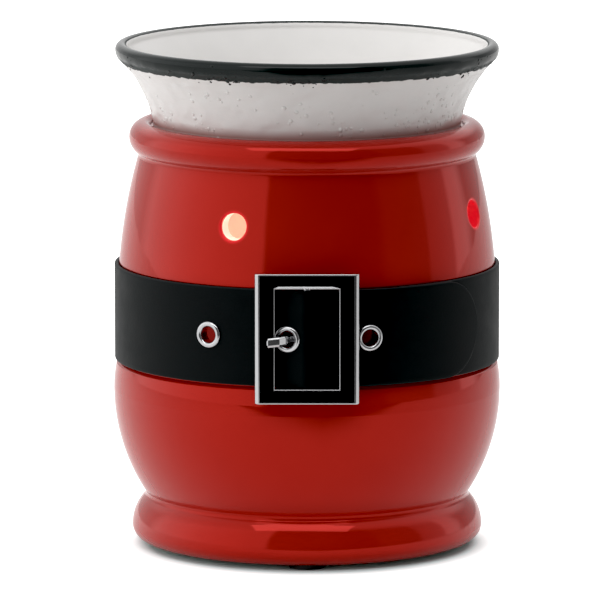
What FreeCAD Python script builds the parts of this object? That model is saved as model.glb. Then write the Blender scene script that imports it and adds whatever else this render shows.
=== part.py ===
"""Electric wax warmer: a ceramic pot with a lift-off dish, a lamp inside and a buckled strap round its belly.

Millimetres, +Z up. The origin lies on the pot's axis, on the surface that the foot pads stand on.
The buckle faces -Y. Angles round the pot are counted from the buckle towards +X.
"""
import FreeCAD, Part
import math
import os
import re

import Sketcher

doc = FreeCAD.newDocument("wax_warmer")

# Driving dimensions. Heights of the pot and dish are counted from the pot's lower edge.
SIZES = [
    ("overall_height", 152.0, "table to the dish's rim"),
    ("pad_height", 1.5, "rubber foot pads"),
    ("pad_radius", 5.3, ""),
    ("pad_count", 4, ""),
    ("belly_radius", 58.4, "pot, outside"),
    ("waist_inset", 10.0, "waist inside the belly"),
    ("foot_reach", 4.5, "foot beyond the waist"),
    ("foot_undercut", 2.9, "foot's lower edge inside its widest ring"),
    ("foot_bulge_height", 4.0, ""),
    ("waist_height", 13.6, ""),
    ("belly_rise", 32.4, "waist to the belly's widest ring"),
    ("belt_rise", 23.4, "belly to the middle of the strap"),
    ("channel_edge_inset", 0.8, "upper edge of the belly, under the strap"),
    ("channel_inset", 1.7, "seat of the strap inside the belly"),
    ("channel_slope", 0.9, "height of the step into the channel"),
    ("shoulder_curve", 176.0, "radius of the shoulder's profile"),
    ("shoulder_inset", 6.0, "neck inside the strap's seat"),
    ("lip_reach", 2.9, "lip beyond the neck"),
    ("lip_rise", 4.9, "neck to the lip's widest ring"),
    ("lip_roll", 4.7, "radius of the lip's roll"),
    ("wall", 4.5, "ceramic wall"),
    ("crease_round", 1.2, "glaze in the neck and waist creases"),
    ("light_hole_radius", 4.0, ""),
    ("light_hole_lift", 0.6, "middle of the light holes above the middle of the shoulder"),
    ("light_hole_turn", -23.6, "degrees from the buckle to the first hole"),
    ("light_hole_count", 4, ""),
    ("hole_round", 0.5, "glaze on the edge of the light holes"),
    ("crest_width", 2.0, "lip's crest to the ledge for the dish"),
    ("seat_drop", 1.4, ""),
    ("seat_width", 2.9, "ledge that the dish rests on"),
    ("mouth_depth", 6.5, "straight part of the mouth"),
    ("ring_inset", 14.4, "opening in the bottom inside the waist"),
    ("ledge_height", 13.5, "ledge that the bridge rests on"),
    ("rebate_step", 4.9, "rebate for the base plate"),
    ("rebate_depth", 4.2, ""),
    ("dish_clearance", 0.4, "dish, between its spigot and the mouth"),
    ("spigot_depth", 8.5, "dish below the ledge"),
    ("spigot_round", 3.0, ""),
    ("dish_foot_inset", 0.6, "dish's foot inside the ledge's outer edge"),
    ("dish_foot_height", 1.4, "straight part above the seat"),
    ("dish_flare", 35.0, "radius of the flared outside"),
    ("flare_reach", 9.8, "flare beyond the dish's foot"),
    ("flare_rise", 18.5, ""),
    ("rim_reach", 1.6, "rim beyond the flare"),
    ("rim_rise", 3.2, ""),
    ("rim_roll", 2.0, "radius of the rim's roll"),
    ("bowl_flare", 40.0, "radius of the flared inside"),
    ("dish_floor", 4.0, "thickness of the dish's floor"),
    ("dish_wall", 5.1, "thickness of the dish at its foot"),
    ("bowl_corner_rise", 6.2, "hollow between floor and side"),
    ("bowl_corner_reach", 8.2, ""),
    ("plate_thickness", 1.0, "base plate"),
    ("plate_clearance", 0.4, ""),
    ("vent_count", 6, ""),
    ("vent_width", 3.0, ""),
    ("vent_start", 16.0, "distance of the vents' ends from the axis"),
    ("vent_end", 29.0, ""),
    ("bridge_thickness", 1.5, "bridge bracket"),
    ("bridge_width", 16.0, ""),
    ("bridge_seat", 5.5, "length of the bridge on the ledge"),
    ("clamp_screw_offset", 24.0, "screws through the base plate"),
    ("clamp_screw_radius", 2.0, ""),
    ("clamp_head_radius", 3.7, ""),
    ("clamp_head_height", 2.2, ""),
    ("clamp_screw_end", 2.0, "thread above the bridge"),
    ("screw_clearance", 0.05, ""),
    ("slot_width", 1.0, "driver slots"),
    ("slot_depth", 0.9, ""),
    ("holder_radius", 12.5, "lamp holder"),
    ("holder_flange_radius", 14.0, ""),
    ("holder_flange_height", 4.0, ""),
    ("holder_height", 32.0, ""),
    ("holder_floor", 8.0, "thickness under the contact"),
    ("holder_screw_radius", 1.5, ""),
    ("holder_screw_depth", 5.0, ""),
    ("holder_head_radius", 2.8, ""),
    ("holder_head_height", 1.8, ""),
    ("shell_thickness", 0.5, "brass screw shell"),
    ("shell_clearance", 0.35, ""),
    ("shell_length", 20.0, ""),
    ("contact_radius", 4.5, "centre contact of the holder"),
    ("contact_thickness", 0.8, ""),
    ("contact_boss_radius", 1.8, ""),
    ("contact_boss_height", 1.4, ""),
    ("terminal_height", 5.0, "terminal screws, above the holder's foot flange"),
    ("terminal_radius", 1.5, ""),
    ("terminal_depth", 3.5, ""),
    ("terminal_head_radius", 2.7, ""),
    ("terminal_head_height", 1.5, ""),
    ("lamp_gap", 0.3, "bulb, above the holder's contact"),
    ("button_radius", 2.0, ""),
    ("button_height", 1.2, ""),
    ("insulator_height", 2.4, ""),
    ("cap_radius", 5.9, ""),
    ("cap_length", 16.0, ""),
    ("cap_thickness", 0.4, ""),
    ("thread_depth", 0.5, ""),
    ("thread_pitch", 2.54, ""),
    ("globe_radius", 20.0, ""),
    ("globe_height", 33.0, "centre of the globe above the cap"),
    ("globe_neck_radius", 5.3, ""),
    ("globe_neck_curve", 30.0, "radius of the hollow between neck and globe"),
    ("globe_join", 46.0, "degrees below the globe's equator where the neck joins it"),
    ("globe_wall", 0.8, ""),
    ("stem_radius", 1.6, ""),
    ("stem_length", 17.0, ""),
    ("stem_foot_radius", 3.6, ""),
    ("lead_radius", 0.35, ""),
    ("lead_length", 14.0, ""),
    ("lead_spacing", 12.0, ""),
    ("filament_radius", 0.5, ""),
    ("gland_bore", 2.4, "bush at the back of the foot"),
    ("gland_wall", 1.0, ""),
    ("gland_clearance", 0.1, ""),
    ("gland_seat_depth", 2.7, "flat at the back inside the foot's widest ring"),
    ("gland_flange_radius", 5.0, ""),
    ("gland_flange_height", 1.6, ""),
    ("gland_tail", 1.5, "bush past the inside of the foot"),
    ("strap_width", 29.0, "strap"),
    ("strap_thickness", 1.3, ""),
    ("strap_gap", 0.05, ""),
    ("strap_end_angle", 28.0, "end under the tail"),
    ("tail_joint_angle", 36.0, "where the round end begins to be cut"),
    ("tail_tip_angle", 58.7, ""),
    ("channel_clearance", 0.4, "channel beyond the strap's edges"),
    ("eyelet_pitch", 24.9, "eyelets, along the strap"),
    ("eyelet_reach", 5.2, "from the centre bar to the middle eyelet"),
    ("eyelet_bore", 2.4, ""),
    ("eyelet_barrel", 0.35, "wall of the barrel"),
    ("eyelet_flange_radius", 4.0, ""),
    ("eyelet_flange_height", 0.75, ""),
    ("eyelet_clearance", 0.05, ""),
    ("bar_radius", 1.5, "buckle, centre bar"),
    ("bar_gap", 0.3, "bar to the strap's seat"),
    ("bar_root", 0.15, "bar's ends inside the frame"),
    ("frame_gap", 0.5, "frame to the belly"),
    ("frame_lift", 0.3, "frame above the middle of the strap"),
    ("frame_thickness", 3.0, ""),
    ("frame_width", 30.8, ""),
    ("frame_height", 38.8, ""),
    ("window_width", 19.0, ""),
    ("window_clearance", 0.4, "window beyond the strap's edges"),
    ("frame_round", 1.4, "front edges, left and right"),
    ("frame_end_round", 0.4, "top and bottom edges"),
    ("window_round", 0.3, "front edges, inside"),
    ("enamel_depth", 0.35, "black face let into the frame"),
    ("enamel_side_margin", 1.55, ""),
    ("enamel_end_margin", 0.6, ""),
    ("enamel_inner_margin", 0.4, ""),
    ("prong_width", 2.8, "prong"),
    ("prong_thickness", 1.6, ""),
    ("prong_reach", 12.4, "tip from the centre bar"),
    ("prong_gap", 0.25, "prong to the strap's seat"),
    ("prong_rest", 0.1, "prong to the frame's face"),
    ("prong_bend", 3.6, "first bend from the centre bar"),
    ("prong_rise", 0.2, "second bend to the window's edge"),
    ("prong_eye_wall", 0.65, ""),
    ("prong_eye_clearance", 0.05, ""),
    ("prong_side_gap", 0.2, "eye to the shoulders of the bar"),
    ("prong_round", 0.45, ""),
]
# Sizes that follow from the driving ones.
FOLLOWING = [
    ("waist_radius", "belly_radius - waist_inset"),
    ("foot_radius", "waist_radius + foot_reach"),
    ("foot_edge_radius", "foot_radius - foot_undercut"),
    ("channel_edge_radius", "belly_radius - channel_edge_inset"),
    ("channel_radius", "belly_radius - channel_inset"),
    ("neck_radius", "channel_radius - shoulder_inset"),
    ("lip_radius", "neck_radius + lip_reach"),
    ("seat_radius", "lip_radius - lip_roll - crest_width"),
    ("mouth_radius", "seat_radius - seat_width"),
    ("ring_radius", "waist_radius - ring_inset"),
    ("rebate_radius", "ring_radius + rebate_step"),
    ("pad_ring", "(foot_edge_radius + rebate_radius) / 2"),
    ("gland_seat", "foot_radius - gland_seat_depth"),
    ("belly_height", "waist_height + belly_rise"),
    ("belt_height", "belly_height + belt_rise"),
    ("rim_top_height", "overall_height - pad_height"),
    ("rim_height", "rim_top_height - rim_roll"),
    ("flare_end_height", "rim_height - rim_rise"),
    ("seat_height", "flare_end_height - flare_rise - dish_foot_height"),
    ("lip_height", "seat_height + seat_drop - lip_roll"),
    ("neck_height", "lip_height - lip_rise"),
    ("channel_top_height", "belt_height + strap_width / 2 + channel_clearance"),
    ("light_hole_height", "(channel_top_height + neck_height) / 2 + light_hole_lift"),
    ("dish_base_height", "seat_height - spigot_depth"),
    ("dish_foot_radius", "seat_radius - dish_foot_inset"),
    ("flare_end_radius", "dish_foot_radius + flare_reach"),
    ("rim_radius", "flare_end_radius + rim_reach"),
    ("bowl_side_radius", "dish_foot_radius - dish_wall"),
    ("bowl_floor_radius", "bowl_side_radius - bowl_corner_reach"),
    ("bowl_floor_height", "dish_base_height + dish_floor"),
    ("bowl_side_height", "bowl_floor_height + bowl_corner_rise"),
]
sheet = doc.addObject("Spreadsheet::Sheet", "Sizes")
rows = [(name, str(value), note) for name, value, note in SIZES]
rows += [(name, "=" + text, "") for name, text in FOLLOWING]
for row, (name, text, note) in enumerate(rows, start=1):
    sheet.set(f"A{row}", name)
    sheet.set(f"B{row}", text)
    sheet.set(f"C{row}", note)
    sheet.setAlias(f"B{row}", name)
doc.recompute()
NAMES = {name for name, text, note in rows}


def full(text):
    """The expression with each size's name led by its sheet."""
    return re.sub(r"[a-z_]+", lambda word: ("Sizes." if word[0] in NAMES else "") + word[0], text)


def number(text):
    """The present value of an expression of sizes."""
    found = sheet.evalExpression(full(text))
    return float(getattr(found, "Value", found))


def bind(thing, **bound):
    """Bind an object's properties to expressions of sizes."""
    for prop, text in bound.items():
        thing.setExpression(prop, full(text))


# Heights above the table and the places that several pieces share.
POT = "pad_height"
LEDGE = f"({POT} + ledge_height)"
PLATE_TOP = f"({POT} + rebate_depth)"
PLATE_LOW = f"({PLATE_TOP} - plate_thickness)"
HOLDER = f"({LEDGE} + bridge_thickness)"
CONTACT_TOP = f"({HOLDER} + holder_floor + contact_thickness + contact_boss_height)"
BUTTON = f"({CONTACT_TOP} + lamp_gap)"
INSULATOR = f"({BUTTON} + button_height)"
CAP = f"({INSULATOR} + insulator_height)"
GLASS = f"({CAP} + cap_length)"
GLOBE = f"({GLASS} + globe_height)"
GLAND = f"({POT} + (rebate_depth + ledge_height) / 2)"
BELT = f"({POT} + belt_height)"
BAR = "(channel_radius + bar_gap + bar_radius)"
STRAP_IN = "(channel_radius + strap_gap)"
STRAP_OUT = f"({STRAP_IN} + strap_thickness)"
TAIL_IN = f"({STRAP_OUT} + strap_gap)"
TAIL_OUT = f"({TAIL_IN} + strap_thickness)"
LOOP_IN = "(bar_radius + strap_gap)"
LOOP_OUT = f"({LOOP_IN} + strap_thickness)"
LEFT_TURN = f"acos(({STRAP_IN} - {LOOP_IN}) / {BAR})"
RIGHT_TURN = f"acos(({TAIL_IN} - {LOOP_IN}) / {BAR})"
LEFT_RUN = f"({BAR} * sin({LEFT_TURN}))"
RIGHT_RUN = f"({BAR} * sin({RIGHT_TURN}))"
FRAME_BACK = "(belly_radius + frame_gap)"
FRAME_FRONT = f"({FRAME_BACK} + frame_thickness)"
WINDOW_HEIGHT = "(strap_width + 2 * window_clearance)"
BUCKLE = f"({BELT} + frame_lift)"
DEGREES = "(180 / pi)"


def plane(body, role):
    """One of the body's own origin planes or axes."""
    return next(item for item in body.Origin.OriginFeatures if item.Role == role)


def sketch_on(body, role, name, lift=None, turn=None):
    """A sketch on an origin plane, lifted along its normal or turned about the pot's axis."""
    sketch = body.newObject("Sketcher::SketchObject", name)
    sketch.AttachmentSupport = [(plane(body, role), "")]
    sketch.MapMode = "FlatFace"
    if turn is not None:
        upright = FreeCAD.Rotation(FreeCAD.Vector(0, 1, 0), 1)
        sketch.AttachmentOffset = FreeCAD.Placement(FreeCAD.Vector(), upright)
        sketch.setExpression("AttachmentOffset.Rotation.Angle", full(turn))
    if lift is not None:
        sketch.setExpression("AttachmentOffset.Base.z", full(lift))
    return sketch


def fix(sketch, kind, places, text):
    """A dimension of the sketch bound to an expression of sizes."""
    index = sketch.addConstraint(Sketcher.Constraint(kind, *places, number(text)))
    sketch.setExpression(f"Constraints[{index}]", full(text))


def arc_between(start, end, radius, turn, long_way):
    """The arc of this radius from start to end; turn is 1 counter-clockwise and -1 clockwise."""
    chord = end - start
    half = chord.Length / 2
    rise = math.sqrt(max(radius * radius - half * half, 0))
    side = FreeCAD.Vector(-chord.y, chord.x, 0).normalize() * (turn * rise * (-1 if long_way else 1))
    centre = (start + end) / 2 + side
    first, last = (start, end) if turn > 0 else (end, start)
    angles = [math.atan2(point.y - centre.y, point.x - centre.x) for point in (first, last)]
    circle = Part.Circle(centre, FreeCAD.Vector(0, 0, 1), radius)
    return Part.ArcOfCircle(circle, angles[0], angles[1] + (2 * math.pi if angles[1] < angles[0] else 0))


def outline(sketch, corners, bends=None):
    """A closed outline. Corners are pairs of expressions, and bends gives the radius and turn of a side."""
    bends = bends or {}
    points = [FreeCAD.Vector(number(across), number(up), 0) for across, up in corners]
    ends = []
    for side, start in enumerate(points):
        end = points[(side + 1) % len(points)]
        if side in bends:
            radius, turn, *long_way = bends[side]
            item = sketch.addGeometry(arc_between(start, end, number(radius), turn, bool(long_way)))
            ends.append((item, 1, 2) if turn > 0 else (item, 2, 1))
        else:
            item = sketch.addGeometry(Part.LineSegment(start, end))
            ends.append((item, 1, 2))
    for side, (item, first, last) in enumerate(ends):
        before, unused, joint = ends[side - 1]
        sketch.addConstraint(Sketcher.Constraint("Coincident", before, joint, item, first))
    for side, (across, up) in enumerate(corners):
        item, first, last = ends[side]
        fix(sketch, "DistanceX", (-1, 1, item, first), across)
        fix(sketch, "DistanceY", (-1, 1, item, first), up)
        if side in bends:
            fix(sketch, "Radius", (item,), bends[side][0])


def round_hole(sketch, across, up, radius):
    """A circle at a place given by expressions."""
    centre = FreeCAD.Vector(number(across), number(up), 0)
    item = sketch.addGeometry(Part.Circle(centre, FreeCAD.Vector(0, 0, 1), number(radius)))
    fix(sketch, "DistanceX", (-1, 1, item, 3), across)
    fix(sketch, "DistanceY", (-1, 1, item, 3), up)
    fix(sketch, "Radius", (item,), radius)


def rectangle(sketch, width, height, middle="0", corner=None):
    """A rectangle centred across the sketch, with rounded corners where a radius is given."""
    right, top = f"({width}) / 2", f"({height}) / 2"
    if corner is None:
        sides = [(f"-{right}", f"{middle} - {top}"), (right, f"{middle} - {top}")]
        sides += [(right, f"{middle} + {top}"), (f"-{right}", f"{middle} + {top}")]
        outline(sketch, sides)
        return
    corners = []
    for x_sign, y_sign, x_first in (("", "-", True), ("", "+", False), ("-", "+", True), ("-", "-", False)):
        far = (f"{x_sign or '+'}1 * ({right})", f"{middle} {y_sign} {top}")
        inward_x = (f"{x_sign or '+'}1 * ({right} - {corner})", far[1])
        inward_y = (far[0], f"{middle} {y_sign} ({top} - {corner})")
        corners += [inward_x, inward_y] if x_first else [inward_y, inward_x]
    outline(sketch, corners, {side: (corner, 1) for side in range(0, 8, 2)})


def new_body(label):
    """An empty body that carries its piece's name."""
    body = doc.addObject("PartDesign::Body", label)
    body.Label = label
    return body


def revolve(body, sketch):
    """Turn the sketch about its own upright axis."""
    feature = body.newObject("PartDesign::Revolution", sketch.Name + "_turned")
    feature.Profile = sketch
    feature.ReferenceAxis = (sketch, ["V_Axis"])
    feature.Angle = 360
    doc.recompute()
    return feature


def pad(body, sketch, length, both_ways=False):
    """Raise the sketch along its normal."""
    feature = body.newObject("PartDesign::Pad", sketch.Name + "_raised")
    feature.Profile = sketch
    feature.SideType = "Symmetric" if both_ways else "One side"
    bind(feature, Length=length)
    doc.recompute()
    return feature


def pocket(body, sketch, length, outward=False, both_ways=False):
    """Cut the sketch into the body, against its normal or, where outward, along it."""
    before = body.Shape.Volume
    feature = body.newObject("PartDesign::Pocket", sketch.Name + "_cut")
    feature.Profile = sketch
    feature.Reversed = outward
    feature.SideType = "Symmetric" if both_ways else "One side"
    bind(feature, Length=length)
    doc.recompute()
    if not body.Shape.Volume < before:
        raise RuntimeError(f"{sketch.Name} cuts nothing")
    return feature


def polar(body, feature, count):
    """Repeat a feature about the pot's axis."""
    pattern = body.newObject("PartDesign::PolarPattern", feature.Name + "_round")
    pattern.Originals = [feature]
    pattern.Axis = (plane(body, "Z_Axis"), [""])
    pattern.Angle = 360
    bind(pattern, Occurrences=count)
    body.Tip = pattern
    doc.recompute()
    return pattern


def soften(body, radius, choose):
    """Round the edges that the function chooses."""
    names = [f"Edge{index}" for index, edge in enumerate(body.Shape.Edges, start=1) if choose(edge)]
    if not names:
        raise RuntimeError(f"{body.Label} has no edge to round")
    solid = body.Tip
    feature = body.newObject("PartDesign::Fillet", body.Name + "_softened")
    feature.Base = (solid, names)
    bind(feature, Radius=radius)
    doc.recompute()
    return feature


def turned_body(label, corners, bends=None):
    """A round piece on the pot's axis from half of its section."""
    body = new_body(label)
    sketch = sketch_on(body, "XZ_Plane", label + "_section")
    outline(sketch, corners, bends)
    revolve(body, sketch)
    return body


def together(label, pieces):
    """Identical pieces as one named group of separate solids."""
    group = doc.addObject("Part::Compound", label)
    group.Label = label
    group.Links = pieces
    return group


def arc_radius(across, up):
    """Radius of an arc that starts square to the first distance and ends both distances away."""
    return f"((({across}) ^ 2 + ({up}) ^ 2) / (2 * ({across})))"


def is_ring(edge, radius, height):
    """Whether an edge is the level circle of this radius at this height."""
    if not isinstance(edge.Curve, Part.Circle):
        return False
    centre = edge.Curve.Center
    level = abs(centre.x) + abs(centre.y) < 1e-6 and abs(centre.z - number(height)) < 1e-4
    return level and abs(edge.Curve.Radius - number(radius)) < 1e-4


# Pot: slip-cast ceramic, open at the bottom, with a ledge for the bridge and a rebate for the base plate.
CHANNEL_LOW = f"({BELT} - strap_width / 2 - channel_clearance)"
CHANNEL_HIGH = f"({BELT} + strap_width / 2 + channel_clearance)"
BELLY_CURVE = arc_radius("belly_radius - waist_radius", "belly_height - waist_height")
INNER_CURVE = f"({BELLY_CURVE} - wall)"
INNER_START = (
    f"(belly_radius - {BELLY_CURVE} + sqrt({INNER_CURVE} ^ 2 - (belly_height - ledge_height) ^ 2))"
)
MOUTH_LOW = f"({POT} + seat_height - mouth_depth)"
LIP_TOP = ("lip_radius - lip_roll", f"{POT} + lip_height + lip_roll")
pot_section = [
    ("foot_edge_radius", POT),
    ("foot_radius", f"{POT} + foot_bulge_height"),
    ("waist_radius", f"{POT} + waist_height"),
    ("belly_radius", f"{POT} + belly_height"),
    ("channel_edge_radius", f"{CHANNEL_LOW} - channel_slope"),
    ("channel_radius", CHANNEL_LOW),
    ("channel_radius", CHANNEL_HIGH),
    ("neck_radius", f"{POT} + neck_height"),
    ("lip_radius", f"{POT} + lip_height"),
    LIP_TOP,
    ("seat_radius", f"{POT} + seat_height"),
    ("mouth_radius", f"{POT} + seat_height"),
    ("mouth_radius", MOUTH_LOW),
    ("neck_radius - wall", f"{POT} + neck_height - wall"),
    ("channel_radius - wall", CHANNEL_HIGH),
    ("channel_radius - wall", CHANNEL_LOW),
    ("belly_radius - wall", f"{POT} + belly_height"),
    (INNER_START, LEDGE),
    ("ring_radius", LEDGE),
    ("ring_radius", PLATE_TOP),
    ("rebate_radius", PLATE_TOP),
    ("rebate_radius", POT),
]
CHANNEL_EDGE = f"{CHANNEL_LOW} - channel_slope"
pot_bends = {
    0: (arc_radius("foot_radius - foot_edge_radius", "foot_bulge_height"), 1),
    1: (arc_radius("foot_radius - waist_radius", "waist_height - foot_bulge_height"), 1),
    2: (BELLY_CURVE, 1),
    3: (arc_radius("belly_radius - channel_edge_radius", f"{CHANNEL_EDGE} - {POT} - belly_height"), 1),
    6: ("shoulder_curve", 1),
    7: (arc_radius("lip_radius - neck_radius", "lip_height - neck_height"), 1),
    8: ("lip_roll", 1),
    9: (arc_radius("lip_height + lip_roll - seat_height", "lip_radius - lip_roll - seat_radius"), 1),
    13: ("shoulder_curve - wall", -1),
    16: (INNER_CURVE, -1),
}
pot_body = turned_body("pot_body", pot_section, pot_bends)
creases = [("neck_radius", f"{POT} + neck_height"), ("waist_radius", f"{POT} + waist_height")]
soften(pot_body, "crease_round", lambda edge: any(is_ring(edge, *crease) for crease in creases))
hole_sketch = sketch_on(pot_body, "XZ_Plane", "light_hole", turn="light_hole_turn")
round_hole(hole_sketch, "0", f"{POT} + light_hole_height", "light_hole_radius")
hole_cut = pocket(pot_body, hole_sketch, "belly_radius", outward=True)
polar(pot_body, hole_cut, "light_hole_count")
gland_sketch = sketch_on(pot_body, "XZ_Plane", "gland_hole")
round_hole(gland_sketch, "0", GLAND, "gland_bore + gland_wall + gland_clearance")
pocket(pot_body, gland_sketch, "belly_radius")
flat_sketch = sketch_on(pot_body, "XZ_Plane", "gland_flat", lift="-gland_seat")
round_hole(flat_sketch, "0", GLAND, "gland_flange_radius + gland_clearance")
pocket(pot_body, flat_sketch, "belly_radius")


def light_hole_edge(edge):
    """Whether an edge is the outer end of a light hole."""
    box = edge.BoundBox
    out = math.hypot(box.Center.x, box.Center.y) > number("channel_radius - wall + 1")
    level = abs(box.Center.z - number(f"{POT} + light_hole_height")) < number("light_hole_radius / 4")
    return out and level and abs(box.ZLength - number("2 * light_hole_radius")) < number("light_hole_radius / 4")


soften(pot_body, "hole_round", light_hole_edge)

# Dish: white ceramic, its shoulder on the pot's ledge and its spigot in the mouth.
RIM = f"{POT} + rim_height"
dish_section = [
    ("0", f"{POT} + dish_base_height"),
    ("mouth_radius - dish_clearance - spigot_round", f"{POT} + dish_base_height"),
    ("mouth_radius - dish_clearance", f"{POT} + dish_base_height + spigot_round"),
    ("mouth_radius - dish_clearance", f"{POT} + seat_height"),
    ("dish_foot_radius", f"{POT} + seat_height"),
    ("dish_foot_radius", f"{POT} + seat_height + dish_foot_height"),
    ("flare_end_radius", f"{POT} + flare_end_height"),
    ("rim_radius", RIM),
    ("rim_radius - rim_roll", f"{RIM} + rim_roll"),
    ("rim_radius - 2 * rim_roll", RIM),
    ("bowl_side_radius", f"{POT} + bowl_side_height"),
    ("bowl_floor_radius", f"{POT} + bowl_floor_height"),
    ("0", f"{POT} + bowl_floor_height"),
]
dish_bends = {
    1: ("spigot_round", 1),
    5: ("dish_flare", -1),
    6: (arc_radius("rim_radius - flare_end_radius", "rim_height - flare_end_height"), 1),
    7: ("rim_roll", 1),
    8: ("rim_roll", 1),
    9: ("bowl_flare", 1),
    10: (arc_radius("bowl_side_height - bowl_floor_height", "bowl_side_radius - bowl_floor_radius"), -1),
}
wax_dish = turned_body("wax_dish", dish_section, dish_bends)

# Foot pads: rubber discs stuck under the pot's foot, the first one below the buckle.
pads = []
for place in range(int(number("pad_count"))):
    disc = doc.addObject("Part::Cylinder", f"pad_{place}")
    turn = f"({place} * 360 / pad_count)"
    bind(disc, Radius="pad_radius", Height="pad_height")
    disc.setExpression("Placement.Base.x", full(f"pad_ring * sin({turn})"))
    disc.setExpression("Placement.Base.y", full(f"-pad_ring * cos({turn})"))
    pads.append(disc)
rubber_feet = together("rubber_feet", pads)

# Base plate: pressed steel with vents, drawn up into the rebate.
base_plate = new_body("base_plate")
disc_sketch = sketch_on(base_plate, "XY_Plane", "plate_disc", lift=PLATE_LOW)
round_hole(disc_sketch, "0", "0", "rebate_radius - plate_clearance")
for side in ("-", ""):
    round_hole(disc_sketch, f"{side}clamp_screw_offset", "0", "clamp_screw_radius + screw_clearance")
pad(base_plate, disc_sketch, "plate_thickness")
vent_sketch = sketch_on(base_plate, "XY_Plane", "vent", lift=PLATE_TOP)
rectangle(vent_sketch, "vent_width", "vent_end - vent_start", "(vent_start + vent_end) / 2", "vent_width / 3")
polar(base_plate, pocket(base_plate, vent_sketch, "2 * plate_thickness"), "vent_count")

# Bridge: steel strip across the bottom opening, on the ledge.
bridge_bracket = new_body("bridge_bracket")
strip_sketch = sketch_on(bridge_bracket, "XY_Plane", "bridge_strip", lift=LEDGE)
rectangle(strip_sketch, "2 * (ring_radius + bridge_seat)", "bridge_width")
for side in ("-", ""):
    round_hole(strip_sketch, f"{side}clamp_screw_offset", "0", "clamp_screw_radius + screw_clearance")
round_hole(strip_sketch, "0", "0", "holder_screw_radius + screw_clearance")
pad(bridge_bracket, strip_sketch, "bridge_thickness")


def screw(label, seat, radius, length, head_radius, head_height):
    """A slotted screw that stands on its head, with the head's upper face at the seat."""
    section = [
        ("0", f"{seat} - {head_height}"),
        (head_radius, f"{seat} - {head_height}"),
        (head_radius, seat),
        (radius, seat),
        (radius, f"{seat} + {length}"),
        ("0", f"{seat} + {length}"),
    ]
    body = turned_body(label, section)
    slot = sketch_on(body, "XY_Plane", label + "_slot", lift=f"{seat} - {head_height}")
    rectangle(slot, f"3 * {head_radius}", "slot_width")
    pocket(body, slot, "slot_depth", outward=True)
    return body


# Screws: two through the base plate into the bridge, one through the bridge into the lamp holder.
CLAMP_LENGTH = f"({LEDGE} + bridge_thickness + clamp_screw_end - {PLATE_LOW})"
clamps = []
for side, name in (("-", "left_clamp"), ("", "right_clamp")):
    body = screw(name, PLATE_LOW, "clamp_screw_radius", CLAMP_LENGTH, "clamp_head_radius", "clamp_head_height")
    body.setExpression("Placement.Base.x", full(f"{side}clamp_screw_offset"))
    clamps.append(body)
clamp_screws = together("clamp_screws", clamps)
holder_screw = screw(
    "holder_screw",
    LEDGE,
    "holder_screw_radius",
    "(bridge_thickness + holder_screw_depth)",
    "holder_head_radius",
    "holder_head_height",
)

# Lamp holder: moulded body, brass shell and centre contact, and a wire terminal on each side.
SHELL_IN = "(cap_radius + shell_clearance)"
SHELL_OUT = f"({SHELL_IN} + shell_thickness)"
SHELL_LOW = f"({CAP} - thread_pitch)"
HOLDER_FLOOR = f"({HOLDER} + holder_floor)"
TERMINAL = f"({HOLDER} + holder_flange_height + terminal_height)"
lamp_holder_body = turned_body(
    "lamp_holder_body",
    [
        ("holder_screw_radius + screw_clearance", HOLDER),
        ("holder_flange_radius", HOLDER),
        ("holder_flange_radius", f"{HOLDER} + holder_flange_height"),
        ("holder_radius", f"{HOLDER} + holder_flange_height"),
        ("holder_radius", f"{HOLDER} + holder_height"),
        (f"{SHELL_OUT} + screw_clearance", f"{HOLDER} + holder_height"),
        (f"{SHELL_OUT} + screw_clearance", HOLDER_FLOOR),
        ("0", HOLDER_FLOOR),
        ("0", f"{HOLDER} + holder_screw_depth + screw_clearance"),
        ("holder_screw_radius + screw_clearance", f"{HOLDER} + holder_screw_depth + screw_clearance"),
    ],
)
terminal_sketch = sketch_on(
    lamp_holder_body, "XZ_Plane", "terminal_hole", lift="holder_radius - terminal_depth - screw_clearance"
)
round_hole(terminal_sketch, "0", TERMINAL, "terminal_radius + screw_clearance")
terminal_cut = pocket(lamp_holder_body, terminal_sketch, "holder_radius", outward=True)
polar(lamp_holder_body, terminal_cut, "2")
lamp_holder_shell = turned_body(
    "lamp_holder_shell",
    [
        (SHELL_IN, SHELL_LOW),
        (SHELL_OUT, SHELL_LOW),
        (SHELL_OUT, f"{SHELL_LOW} + shell_length"),
        (SHELL_IN, f"{SHELL_LOW} + shell_length"),
    ],
)
lamp_holder_contact = turned_body(
    "lamp_holder_contact",
    [
        ("0", HOLDER_FLOOR),
        ("contact_radius", HOLDER_FLOOR),
        ("contact_radius", f"{HOLDER_FLOOR} + contact_thickness"),
        ("contact_boss_radius", f"{HOLDER_FLOOR} + contact_thickness"),
        ("contact_boss_radius", CONTACT_TOP),
        ("0", CONTACT_TOP),
    ],
)
terminals = []
for turn, name in ((0, "front_terminal"), (180, "rear_terminal")):
    body = new_body(name)
    shank = sketch_on(body, "XZ_Plane", name + "_shank", lift="holder_radius - terminal_depth")
    round_hole(shank, "0", TERMINAL, "terminal_radius")
    pad(body, shank, "terminal_depth")
    head = sketch_on(body, "XZ_Plane", name + "_head", lift="holder_radius")
    round_hole(head, "0", TERMINAL, "terminal_head_radius")
    pad(body, head, "terminal_head_height")
    slot = sketch_on(body, "XZ_Plane", name + "_slot", lift="holder_radius + terminal_head_height")
    rectangle(slot, "3 * terminal_head_radius", "slot_width", TERMINAL)
    pocket(body, slot, "slot_depth")
    body.Placement = FreeCAD.Placement(FreeCAD.Vector(), FreeCAD.Rotation(FreeCAD.Vector(0, 0, 1), turn))
    terminals.append(body)
terminal_screws = together("terminal_screws", terminals)

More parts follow.
